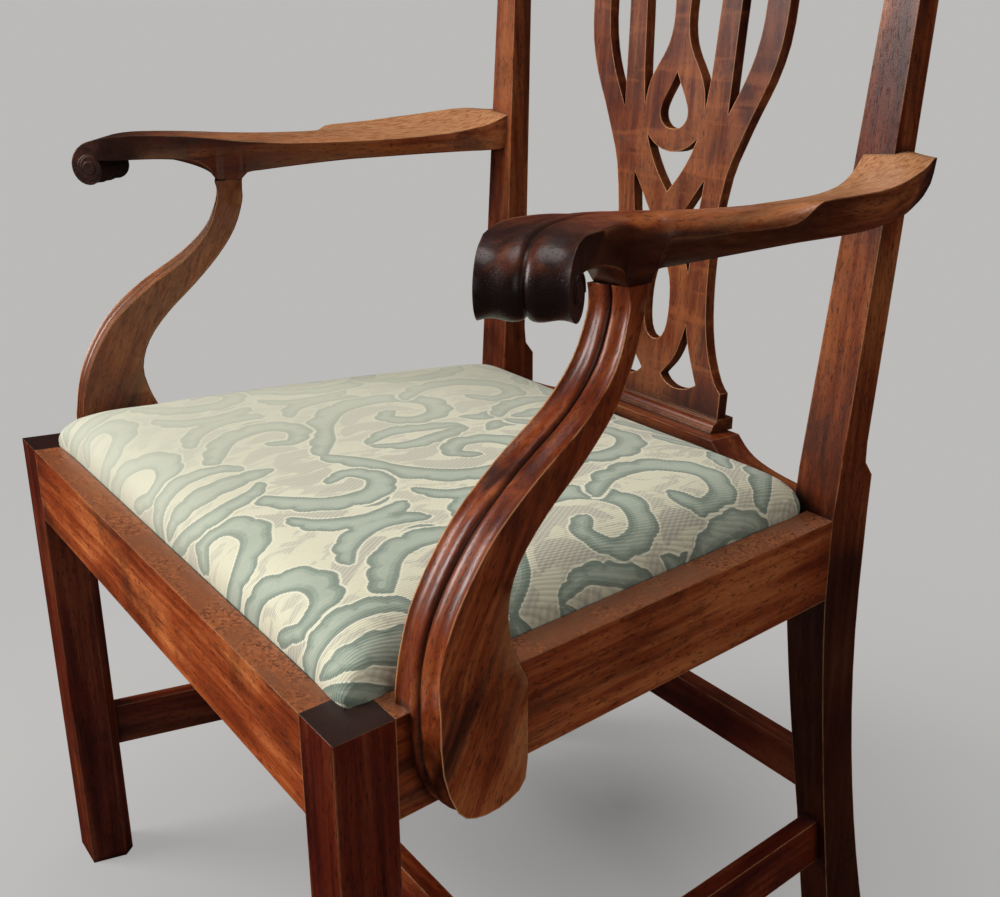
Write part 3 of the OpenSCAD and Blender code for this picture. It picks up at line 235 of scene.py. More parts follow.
    # Painted shade, with some grime: within 20 mm of other parts the ambient occlusion takes the colour
    # towards near black.
    painted_shade_and_grime = step(tree, open_air, 0.66, 0.2)
    wood = tint(tree, sum_of(tree, "MULTIPLY", painted_shade_and_grime, 0.85), wood, colour(0.009, 0.002, 0.001))

    height = sum_of(tree, "ADD", sum_of(tree, "MULTIPLY", stripes, 0.35),
                    sum_of(tree, "MULTIPLY", pores, -0.6))
    height = sum_of(tree, "ADD", height, sum_of(tree, "MULTIPLY", smears, 0.5))
    if rubbed_top is not None:
        top = sum_of(tree, "MULTIPLY", step(tree, normal_up, 0.75, 0.95),
                     step(tree, height_above, rubbed_top - 0.004, rubbed_top - 0.001))
        mottle = add(tree, "ShaderNodeTexNoise", {"Vector": board, "Scale": 430.0, "Detail": 3.0,
                                                  "Roughness": 0.65}).outputs[0]
        pits = step(tree, mottle, 0.6, 0.68)
        bare = ramp(tree, mottle, [(0.35, (0.36, 0.125, 0.045)), (0.52, (0.24, 0.07, 0.022)),
                                   (0.63, (0.05, 0.013, 0.005))])
        bare = tint(tree, step(tree, smears, 0.62, 0.35), bare, colour(0.2, 0.07, 0.03))
        wood = tint(tree, sum_of(tree, "MULTIPLY", top, 0.85), wood, bare)
        height = sum_of(tree, "SUBTRACT", height,
                        sum_of(tree, "MULTIPLY", sum_of(tree, "MULTIPLY", pits, top), 1.6))
    if black_top is not None:
        top = sum_of(tree, "MULTIPLY", step(tree, normal_up, 0.7, 0.95),
                     step(tree, height_above, black_top - 0.004, black_top - 0.001))
        wood = tint(tree, sum_of(tree, "MULTIPLY", top, 0.93), wood, colour(0.02, 0.009, 0.007))
    if dark_spot is not None:
        centre, near, far = dark_spot
        away = add(tree, "ShaderNodeVectorMath", {0: here, 1: centre}, operation="DISTANCE").outputs["Value"]
        away = sum_of(tree, "ADD", away, sum_of(tree, "MULTIPLY", smears, 0.03))
        patches = sum_of(tree, "MULTIPLY", step(tree, smears, 0.68, 0.5), 0.35)
        dark = sum_of(tree, "MULTIPLY", step(tree, away, far, near), sum_of(tree, "ADD", patches, 0.65))
        wood = tint(tree, sum_of(tree, "MULTIPLY", dark, 0.93), wood, colour(0.012, 0.006, 0.006))
    tree.links.new(wood, shader.inputs["Base Color"])
    sheen = sum_of(tree, "ADD", sum_of(tree, "MULTIPLY", smears, 0.26), roughness - 0.13)
    tree.links.new(sum_of(tree, "ADD", sheen, sum_of(tree, "MULTIPLY", pores, 0.15)),
                   shader.inputs["Roughness"])
    shader.inputs["Specular IOR Level"].default_value = 0.3
    shader.inputs["Coat Weight"].default_value = 0.1
    shader.inputs["Coat Roughness"].default_value = 0.2
    soft = add(tree, "ShaderNodeBevel", {"Radius": 0.0009}, samples=4).outputs[0]
    bump = add(tree, "ShaderNodeBump", {"Strength": relief, "Distance": 0.0006, "Height": height,
                                        "Normal": soft}).outputs[0]
    tree.links.new(bump, shader.inputs["Normal"])
    return finish


print("mahogany can be cut")

# %% [markdown]
# ## Which way the grain runs
# A joiner cuts each piece with the grain along its length, because that is where the wood is
# strong. So legs, posts, splat and arm supports have upright grain, the front and back rails have
# it from side to side, and the side rails and arms follow the splay of the seat. Each piece also
# starts at another place in the noise, so that no two of them show the same stripes.

# %% Cut and hang the wood
UPRIGHT, ACROSS = (0, 0, 1), (1, 0, 0)
ALONG_RIGHT, ALONG_LEFT = (-0.154, 0.988, 0), (0.154, 0.988, 0)
red = ((0.085, 0.0095, 0.0015), (0.215, 0.037, 0.006), (0.4, 0.112, 0.028))
dark = ((0.042, 0.003, 0.0008), (0.105, 0.011, 0.002), (0.2, 0.04, 0.009))
rail_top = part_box("front_rail")[1][2]
support_joint = 0.632


def toned(tones, share):
    return [tuple(value * share for value in tone) for tone in tones]


scroll_right, scroll_left = (0.3195, -0.1588, 0.65), (-0.3195, -0.1588, 0.65)
# Painted shade on the back posts below the seat rail.
back_low_shade = {"painted_low_shade": (rail_top + 0.03, rail_top - 0.06, 0.8)}
cuts = {
    "front_leg_right": (UPRIGHT, dark, {"black_top": rail_top, "worn": 0.3}),
    "front_leg_left": (UPRIGHT, dark, {"black_top": rail_top, "worn": 0.3}),
    "back_post_right": (UPRIGHT, toned(red, 0.7), back_low_shade),
    "back_post_left": (UPRIGHT, toned(red, 0.72), back_low_shade),
    "front_rail": (ACROSS, toned(red, 1.45), {"rubbed_top": rail_top}),
    "back_rail": (ACROSS, toned(red, 0.65), {}),
    "side_rail_right": (ALONG_RIGHT, red, {"rubbed_top": rail_top}),
    "side_rail_left": (ALONG_LEFT, red, {"rubbed_top": rail_top}),
    "splat_shoe": (ACROSS, toned(red, 0.55), {"worn": 0.3, "relief": 0.12}),
    "crest_rail": (ACROSS, toned(red, 0.7), {"relief": 0.2}),
    # The splat darkens towards its shoe: painted shade.
    "splat": (UPRIGHT, toned(red, 0.6), {
        "ribbon": 0.3, "relief": 0.15, "curl": 1.2, "worn": 0.9,
        "painted_low_shade": (rail_top + 0.09, rail_top + 0.02, 0.7)}),
    # The arms' sides are darkened partly by stain and partly by painted shade.
    "arm_right": (ALONG_RIGHT, red, {
        "dark_spot": (scroll_right, 0.03, 0.11), "joint_at": support_joint, "sides_stain_and_shade": (0.8, 0.03, 0.15),
        "pale_end": ((0.24, 0.19, 0.67), 0.26, True, 0.85)}),
    "arm_left": (ALONG_LEFT, red, {
        "dark_spot": (scroll_left, 0.03, 0.11), "joint_at": support_joint, "sides_stain_and_shade": (0.45, 0.0, 0.15),
        "pale_end": ((-0.24, 0.19, 0.67), 0.42, True, 0.8)}),
    "arm_support_right": ((0, 0.45, 0.9), toned(red, 0.95), {
        "worn": 0.95, "joint_at": support_joint, "stained": 0.85}),
    "arm_support_left": ((0, 0.45, 0.9), toned(red, 0.62), {
        "worn": 0.95, "joint_at": support_joint, "stained": 0.8,
        "pale_end": ((-0.25, -0.11, 0.55), 0.15, False, 0.3)}),
    "side_stretcher_right": (ALONG_RIGHT, dark, {}), "side_stretcher_left": (ALONG_LEFT, dark, {}),
    "middle_stretcher": (ACROSS, dark, {}), "back_stretcher": (ACROSS, dark, {}),
    "arm_screw_plugs": (UPRIGHT, red, {}),
}
for number, (node, (grain, tones, extra)) in enumerate(cuts.items()):
    wood = mahogany("mahogany_" + node, grain, *tones,
                    place=(0.37 * number, 0.11 * number, 0.23 * number), **extra)
    nodes[node].material_slots[0].material = wood
print("pieces of mahogany:", len(cuts))

# %% [markdown]
# ## Smooth shading on the swept pieces
# The frame comes as loose flat triangles. The arms and their supports are swept curves, and on a
# waxed surface every flat would catch the light. A modifier welds the triangles, marks them
# smooth, and keeps an edge crisp where it turns by more than about a third of a right angle, or
# half of one on the arms. A modifier is used instead of a new mesh, so the frame itself stays as
# it was measured. The frame's crest rail is two halves that meet face to face in the middle,
# though a real one is a single board. Welded together, those hidden faces would pull the shading
# out of true and show as a seam, so faces that lie in the middle plane are taken away first.

# %% Two modifier groups that weld and smooth
def smoothing_group(name, sharp_over):
    group = bpy.data.node_groups.new(name, "GeometryNodeTree")
    group.interface.new_socket("Geometry", in_out="INPUT", socket_type="NodeSocketGeometry")
    group.interface.new_socket("Geometry", in_out="OUTPUT", socket_type="NodeSocketGeometry")
    start, end = group.nodes.new("NodeGroupInput"), group.nodes.new("NodeGroupOutput")
    bare = add(group, "GeometryNodeRemoveAttribute", {"Geometry": start.outputs[0],
                                                      "Name": "custom_normal"}).outputs[0]
    across = add(group, "ShaderNodeSeparateXYZ",
                 {0: add(group, "GeometryNodeInputPosition").outputs[0]}).outputs["X"]
    centred = add(group, "FunctionNodeCompare", {0: across, 1: 0.0, 12: 0.00001},
                  data_type="FLOAT", operation="EQUAL").outputs[0]
    facing = add(group, "ShaderNodeSeparateXYZ",
                 {0: add(group, "GeometryNodeInputNormal").outputs[0]}).outputs["X"]
    sideways = add(group, "FunctionNodeCompare", {0: sum_of(group, "ABSOLUTE", facing), 1: 0.999},
                   data_type="FLOAT", operation="GREATER_THAN").outputs[0]
    seam = add(group, "FunctionNodeBooleanMath", {0: centred, 1: sideways}, operation="AND").outputs[0]
    whole = add(group, "GeometryNodeDeleteGeometry", {"Geometry": bare, "Selection": seam},
                domain="FACE").outputs[0]
    welded = add(group, "GeometryNodeMergeByDistance", {"Geometry": whole, "Distance": 0.00001}).outputs[0]
    angle = add(group, "GeometryNodeInputMeshEdgeAngle").outputs["Unsigned Angle"]
    steep = add(group, "FunctionNodeCompare", {0: angle, 1: math.radians(sharp_over)},
                data_type="FLOAT", operation="GREATER_THAN").outputs[0]
    sides = add(group, "GeometryNodeInputMeshEdgeNeighbors").outputs[0]
    crowded = add(group, "FunctionNodeCompare", {2: sides, 3: 2},
                  data_type="INT", operation="NOT_EQUAL").outputs[0]
    sharp = add(group, "FunctionNodeBooleanMath", {0: steep, 1: crowded}, operation="OR").outputs[0]
    soft = add(group, "GeometryNodeSetShadeSmooth", {"Geometry": welded, "Shade Smooth": True},
               domain="FACE").outputs[0]
    crisp = add(group, "GeometryNodeSetShadeSmooth",
                {"Geometry": soft, "Selection": sharp, "Shade Smooth": False}, domain="EDGE").outputs[0]
    group.links.new(crisp, end.inputs[0])
    return group


smooth_wood, swept_wood = smoothing_group("smooth_wood", 32), smoothing_group("swept_wood", 46)
for name, node in nodes.items():
    group = swept_wood if name.startswith("arm_") else smooth_wood
    node.modifiers.new("smoothing", "NODES").node_group = group
print("smoothed:", len(nodes))

# %% [markdown]
# ## The plain parts underneath
# Corner blocks and the seat's own frame are unpolished wood, the webbing and hessian are jute, the
# underside is closed with dark linen, and screws and tacks are dull steel. Plain weaves are made
# from two sets of waves at right angles: where one thread is up, the other is down.

# %% Plain wood, plain weaves and steel
def plain_weave(name, light, shade, threads, deep=0.5):
    finish = bpy.data.materials.new(name)
    finish.use_nodes = True
    tree = finish.node_tree
    shader = tree.nodes["Principled BSDF"]
    here = add(tree, "ShaderNodeSeparateXYZ", {0: add(tree, "ShaderNodeTexCoord").outputs["Object"]})
    waves = [sum_of(tree, "SINE", sum_of(tree, "MULTIPLY", here.outputs[axis], threads * 2 * math.pi))
             for axis in "XY"]
    cross = sum_of(tree, "MULTIPLY", *waves)
    uneven = add(tree, "ShaderNodeTexNoise", {"Vector": add(tree, "ShaderNodeTexCoord").outputs["Object"],
                                              "Scale": 140.0, "Detail": 3.0}).outputs[0]
    mixed = sum_of(tree, "ADD", sum_of(tree, "MULTIPLY", cross, 0.28), uneven)
    tree.links.new(ramp(tree, mixed, [(0.25, shade), (0.75, light)]), shader.inputs["Base Color"])
    shader.inputs["Roughness"].default_value = 0.9
    shader.inputs["Sheen Weight"].default_value = 0.15
    bump = add(tree, "ShaderNodeBump", {"Strength": deep, "Distance": 0.0005, "Height": mixed})
    tree.links.new(bump.outputs[0], shader.inputs["Normal"])
    return finish


def dull_steel(name):
    finish = bpy.data.materials.new(name)
    finish.use_nodes = True
    tree = finish.node_tree
    shader = tree.nodes["Principled BSDF"]
    here = add(tree, "ShaderNodeTexCoord").outputs["Object"]
    spots = add(tree, "ShaderNodeTexNoise", {"Vector": here, "Scale": 500.0, "Detail": 4.0}).outputs[0]
    tree.links.new(ramp(tree, spots, [(0.35, (0.1, 0.075, 0.06)), (0.65, (0.3, 0.28, 0.26))]),
                   shader.inputs["Base Color"])
    tree.links.new(sum_of(tree, "ADD", sum_of(tree, "MULTIPLY", spots, 0.3), 0.3), shader.inputs["Roughness"])
    shader.inputs["Metallic"].default_value = 1.0
    return finish


beech = ((0.24, 0.13, 0.06), (0.36, 0.21, 0.11), (0.48, 0.31, 0.17))
for number, (node, grain) in enumerate({
        "front_corner_block_right": (1, -1, 0), "front_corner_block_left": (1, 1, 0),
        "back_corner_block_right": (1, 1, 0), "back_corner_block_left": (1, -1, 0),
        "seat_frame_front": ACROSS, "seat_frame_back": ACROSS,
        "seat_frame_right": ALONG_RIGHT, "seat_frame_left": ALONG_LEFT}.items()):
    nodes[node].material_slots[0].material = mahogany(
        "beech_" + node, grain, *beech, place=(0.3 * number, 0.2, 0.1), worn=0.2, roughness=0.62)
steel = dull_steel("dull_steel")
jute = plain_weave("jute_webbing", (0.44, 0.33, 0.18), (0.2, 0.14, 0.07), 420)
for node in ("webbing_lengthwise", "webbing_crosswise"):
    nodes[node].material_slots[0].material = jute
nodes["seat_hessian"].material_slots[0].material = plain_weave(
    "hessian", (0.5, 0.38, 0.22), (0.25, 0.17, 0.09), 300, 0.8)
nodes["seat_bottom_linen"].material_slots[0].material = plain_weave(
    "black_linen", (0.05, 0.046, 0.042), (0.015, 0.014, 0.013), 600)
for node in ("support_screws", "arm_screws", "cover_tacks"):
    nodes[node].material_slots[0].material = steel
print("plain parts finished")

# %% [markdown]
# ## The seat pad: its stuffed shape
# The drop-in seat is a frame with webbing, hair and wadding, drawn tight under one piece of cloth.
# The cloth is drawn down over the edges and swells a little between them. The pad starts from the
# outer hull of the frame's cover, remeshed to even squares, and Blender's cloth blows it up from
# inside with gravity off. How far a point may move is capped, because a tight seat hardly swells.

# %% Hull of the cover, remeshed
def object_from(mesh_data, name):
    made = bpy.data.objects.new(name, mesh_data)
    scene.collection.objects.link(made)
    return made


def applied(piece):
    graph = bpy.context.evaluated_depsgraph_get()
    mesh_data = bpy.data.meshes.new_from_object(piece.evaluated_get(graph), depsgraph=graph)
    piece.modifiers.clear()
    piece.data = mesh_data
    return piece


def coordinates(mesh_data):
    values = np.empty(len(mesh_data.vertices) * 3, np.float32)
    mesh_data.vertices.foreach_get("co", values)
    return values.reshape(-1, 3).astype(float)


low, high = [Vector(corner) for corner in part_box("seat_cover")]
back_half_x = 0.2128
hull = bmesh.new()
for vertex in nodes["seat_cover"].data.vertices:
    hull.verts.new(vertex.co)
bmesh.ops.remove_doubles(hull, verts=hull.verts, dist=0.00001)
inside = bmesh.ops.convex_hull(hull, input=hull.verts)
bmesh.ops.delete(hull, geom=list({
    v for v in inside["geom_interior"] + inside["geom_unused"] if isinstance(v, bmesh.types.BMVert)
}), context="VERTS")
bmesh.ops.recalc_face_normals(hull, faces=hull.faces)
pad_mesh = bpy.data.meshes.new("seat_pad")
hull.to_mesh(pad_mesh)
hull.free()
seat_pad = object_from(pad_mesh, "seat_pad")
remesh = seat_pad.modifiers.new("even_squares", "REMESH")
remesh.mode = "VOXEL"
remesh.voxel_size = 0.006
applied(seat_pad)
print("pad squares:", len(seat_pad.data.polygons))

# %% Blow the pad up a little
LAST_FRAME = 20


def blown_up(piece, cap, quick):
    start = coordinates(piece.data)
    if quick:
        return start
    cloth = piece.modifiers.new("stuffing", "CLOTH")
    cloth.settings.quality = 4
    cloth.settings.mass = 0.3
    cloth.settings.use_pressure = True
    cloth.settings.uniform_pressure_force = 4
    cloth.settings.effector_weights.gravity = 0
    cloth.point_cache.frame_start, cloth.point_cache.frame_end = 1, LAST_FRAME
    for number in range(1, LAST_FRAME + 1):
        scene.frame_set(number)
    moved = coordinates(piece.evaluated_get(bpy.context.evaluated_depsgraph_get()).data) - start
    piece.modifiers.remove(cloth)
    scene.frame_set(1)
    length = np.linalg.norm(moved, axis=1)
    share = np.minimum(1, cap / np.maximum(length, 1e-9))
    lift = np.clip((start[:, 2] - (low.z + 0.016)) / 0.014, 0, 1)
    return start + moved * (share * lift)[:, None]


puffed = blown_up(seat_pad, 0.003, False)
puffed[:, 2] = np.minimum(puffed[:, 2], high.z + 0.004)
middle_y = (low.y + high.y) / 2
half_x = high.x - (high.x - back_half_x) * (puffed[:, 1] - low.y) / (high.y - low.y)
half_y = (high.y - low.y) / 2
corner_reach, corner_pull = 0.05, 0.0055
corner_x = np.clip(1 - (half_x - np.abs(puffed[:, 0])) / corner_reach, 0, 1)
corner_y = np.clip(1 - (half_y - np.abs(puffed[:, 1] - middle_y)) / corner_reach, 0, 1)
pull = corner_pull * (corner_x * corner_y) ** 1.3 * np.clip((puffed[:, 2] - low.z - 0.004) / 0.01, 0, 1)
puffed[:, 0] += np.sign(puffed[:, 0]) * pull
puffed[:, 1] += np.sign(puffed[:, 1] - middle_y) * pull
seat_pad.data.vertices.foreach_set("co", puffed.astype(np.float32).ravel())
smoother = seat_pad.modifiers.new("even_out", "SMOOTH")
smoother.factor, smoother.iterations = 0.5, 6
finer = seat_pad.modifiers.new("finer", "SUBSURF")
finer.levels = finer.render_levels = 1
applied(seat_pad)
print("pad after stuffing:", len(seat_pad.data.polygons), "faces, top at",
      round(float(coordinates(seat_pad.data)[:, 2].max()), 4))

# %% [markdown]
# ## The cloth's turned-in edge
# Under the seat the cloth is turned in by about 23 mm and tacked, and the middle is left to the
# linen. Four cuts with a plane, one along each side, make a clean line, and the faces inside them
# are taken away. The cloth then gets its own thickness inward.

# %% Cut the underside open
turn_in = 0.023
under = bmesh.new()
under.from_mesh(seat_pad.data)
slope = (high.x - back_half_x) / (high.y - low.y)
sides = [
    (Vector((0, low.y + turn_in, 0)), Vector((0, -1, 0))),
    (Vector((0, high.y - turn_in, 0)), Vector((0, 1, 0))),
    (Vector((high.x - turn_in, low.y, 0)), Vector((1, slope, 0)).normalized()),
    (Vector((turn_in - high.x, low.y, 0)), Vector((-1, slope, 0)).normalized()),
]
for point, outward in sides:
    flat = [f for f in under.faces if f.calc_center_median().z < low.z + 0.003]
    touching = list({e for f in flat for e in f.edges}) + list({v for f in flat for v in f.verts}) + flat
    bmesh.ops.bisect_plane(under, geom=touching, dist=0.00001, plane_co=point, plane_no=outward)
centre_faces = [f for f in under.faces if f.calc_center_median().z < low.z + 0.003
                and all((f.calc_center_median() - point).dot(outward) < 0 for point, outward in sides)]
bmesh.ops.delete(under, geom=centre_faces, context="FACES")
under.to_mesh(seat_pad.data)
under.free()
cloth_thickness = seat_pad.modifiers.new("cloth_thickness", "SOLIDIFY")
cloth_thickness.thickness, cloth_thickness.offset = 0.001, -1
applied(seat_pad)
print("underside faces removed:", len(centre_faces))

# %% Finer squares where the figure is seen
dense = bmesh.new()
dense.from_mesh(seat_pad.data)
pad_middle = Vector((0, middle_y, low.z))
outside = [f for f in dense.faces if f.calc_center_median().z > low.z + 0.006
           and f.normal.dot(f.calc_center_median() - pad_middle) > 0]
bmesh.ops.subdivide_edges(dense, edges=list({e for f in outside for e in f.edges}), cuts=1,
                          use_grid_fill=True)
dense.to_mesh(seat_pad.data)
dense.free()
for face in seat_pad.data.polygons:
    face.use_smooth = True
print("pad faces:", len(seat_pad.data.polygons))

# %% [markdown]
# ## The figure of the cloth
# The cover is a ribbed furnishing cloth with a traditional figure of scrolling leaves, mirrored
# about a middle line and repeated. A photo of cloth would be one way; drawing it is another, and
# a drawn figure can be measured. Every frond is a curved line with a changing width, and each
# point of the pad gets its distance to the nearest edge. A distance changes smoothly, so the
# outline stays crisp even between points, which a painted colour would not.

# %% Draw the fronds
def through(points, each=7):
    points = np.array(points, float)
    padded_ends = np.vstack([2 * points[0] - points[1], points, 2 * points[-1] - points[-2]])
    out = []
    for i in range(len(points) - 1):
        a, b, c, d = padded_ends[i:i + 4]
        for t in np.arange(each) / each:
            out.append(0.5 * (2 * b + (c - a) * t + (2 * a - 5 * b + 4 * c - d) * t * t
                              + (3 * b - a - 3 * c + d) * t ** 3))
    out.append(points[-1])
    return np.array(out)


def frond_distance(place, line, lobes, depth):
    best = np.full(len(place), 9.0)
    n = len(line) - 1
    for i in range(n):
        a, b = line[i], line[i + 1]
        run = b[:2] - a[:2]
        t = np.clip(((place - a[:2]) @ run) / max(run @ run, 1e-12), 0, 1)
        away = place - (a[:2] + t[:, None] * run)
        s = (i + t) / n
        width = a[2] + (b[2] - a[2]) * t
        outer = (run[0] * away[:, 1] - run[1] * away[:, 0]) < 0
        scallop = np.where(outer, 1 - depth + depth * 1.6 * np.abs(np.sin(np.pi * lobes * s)) ** 0.6, 1.0)
        best = np.minimum(best, np.hypot(away[:, 0], away[:, 1]) - width * scallop)
    return best


REPEAT_X, REPEAT_Y = 0.26, 0.31
fronds = [
    ([(0.004, 0.02, 0.004), (0.017, 0.045, 0.008), (0.012, 0.075, 0.009), (0.004, 0.1, 0.005)], 6, 0.45),
    ([(0.1, 0.0, 0.004), (0.12, 0.014, 0.008), (0.127, 0.045, 0.0085), (0.118, 0.07, 0.005)], 6, 0.45),
    ([(0.075, -0.01, 0.004), (0.1, -0.03, 0.008), (0.09, -0.052, 0.006)], 3, 0.4),
    ([(0.004, -0.02, 0.006), (0.03, -0.004, 0.009), (0.066, 0.012, 0.0105), (0.096, 0.045, 0.0115),
      (0.098, 0.087, 0.011), (0.072, 0.113, 0.0105), (0.042, 0.104, 0.0095), (0.034, 0.078, 0.0085),
      (0.05, 0.062, 0.0075), (0.064, 0.072, 0.006)], 15, 0.5),
    ([(0.09, 0.1, 0.006), (0.111, 0.13, 0.009), (0.113, 0.168, 0.0105), (0.09, 0.196, 0.0105),
      (0.062, 0.192, 0.0095), (0.052, 0.168, 0.0085), (0.068, 0.152, 0.0065)], 10, 0.5),
    ([(0.02, 0.115, 0.004), (0.01, 0.128, 0.008), (0.02, 0.142, 0.004)], 2, 0.4),
    ([(0.09, 0.222, 0.005), (0.112, 0.235, 0.0085), (0.125, 0.262, 0.0095), (0.118, 0.29, 0.007)], 6, 0.45),
    ([(0.03, 0.215, 0.004), (0.055, 0.228, 0.008), (0.082, 0.25, 0.0105), (0.088, 0.283, 0.0105),
      (0.066, 0.3, 0.009), (0.044, 0.288, 0.007), (0.05, 0.27, 0.0045)], 12, 0.5),
    ([(0.008, 0.14, 0.005), (0.026, 0.16, 0.0085), (0.036, 0.19, 0.0095), (0.03, 0.22, 0.007),
      (0.018, 0.232, 0.004)], 7, 0.45),
    ([(0.0, 0.15, 0.004), (0.0, 0.175, 0.01), (0.0, 0.205, 0.012), (0.0, 0.235, 0.008),
      (0.0, 0.25, 0.002)], 6, 0.4),
]
pale_leaves = [
    ([(0.045, 0.025, 0.003), (0.07, 0.042, 0.009), (0.074, 0.07, 0.009), (0.06, 0.09, 0.003)], 3, 0.3),
    ([(0.115, 0.085, 0.003), (0.126, 0.105, 0.009), (0.127, 0.13, 0.004)], 3, 0.3),
    ([(0.03, 0.12, 0.003), (0.046, 0.135, 0.009), (0.044, 0.158, 0.006)], 3, 0.3),
    ([(0.065, 0.205, 0.003), (0.088, 0.222, 0.009), (0.104, 0.25, 0.007)], 3, 0.3),
    ([(0.0, 0.255, 0.003), (0.014, 0.272, 0.01), (0.01, 0.3, 0.004)], 3, 0.3),
    ([(0.024, 0.24, 0.003), (0.036, 0.26, 0.009), (0.028, 0.28, 0.004)], 3, 0.3),
    ([(0.03, 0.014, 0.003), (0.042, 0.032, 0.009), (0.03, 0.056, 0.008), (0.024, 0.075, 0.003)], 3, 0.3),
    ([(0.052, -0.02, 0.003), (0.066, -0.03, 0.008), (0.062, -0.05, 0.004)], 2, 0.3),
]


def figure_distance(place, drawings, line_between):
    folded = np.column_stack([np.abs((place[:, 0] + REPEAT_X / 2) % REPEAT_X - REPEAT_X / 2),
                              place[:, 1] % REPEAT_Y])
    drawn = np.full(len(place), 9.0)
    for points, lobes, depth in drawings:
        line = through(points)
        frond = np.full(len(place), 9.0)
        for drop in (-REPEAT_Y, 0, REPEAT_Y):
            middle = line[:, :2].mean(axis=0) + (0, drop)
            near = np.nonzero(np.hypot(*(folded - middle).T) < 0.11)[0]
            frond[near] = np.minimum(frond[near],
                                     frond_distance(folded[near] - (0, drop), line, lobes, depth))
        drawn = np.minimum(np.maximum(drawn, line_between - frond), frond)
    return drawn


def keep_on_points(piece, name, values):
    layer = piece.data.attributes.new(name, "FLOAT", "POINT")
    layer.data.foreach_set("value", np.asarray(values, np.float32))


at = coordinates(seat_pad.data)
drop = np.clip(high.z - 0.012 - at[:, 2], 0, 0.05)
normal_x = np.sign(at[:, 0]) * np.clip((np.abs(at[:, 0]) - 0.16) / 0.08, 0, 1)
normal_y = np.sign(at[:, 1]) * np.clip((np.abs(at[:, 1] + 0.037) - 0.15) / 0.05, 0, 1)
cloth_place = at[:, :2] + np.column_stack([normal_x, normal_y]) * drop[:, None] * 0.8
cloth_place[:, 1] += 0.1
keep_on_points(seat_pad, "leaf",
               np.clip(figure_distance(cloth_place, fronds, 0.0026) * 1000, -20, 20))
keep_on_points(seat_pad, "pale_leaf",
               np.clip(figure_distance(cloth_place, pale_leaves, 0.002) * 1000, -20, 20))
print("figure drawn on", len(at), "points")

# %% [markdown]
# ## The cloth itself
# The ground is cream, the leaves are sage with a darker outline, and paler leaves fill between
# them. Ribs run from front to back, just under two millimetres apart, and the valleys between them
# are darkened as painted shade. Sun and use have faded the left of the seat. The fade is laid over
# the finished colours, because that is how it comes about: the pattern stays, only its strength goes.

# %% Ribbed cloth with sage leaves
RIBS_PER_METRE, HATCH_PER_METRE = 520, 280


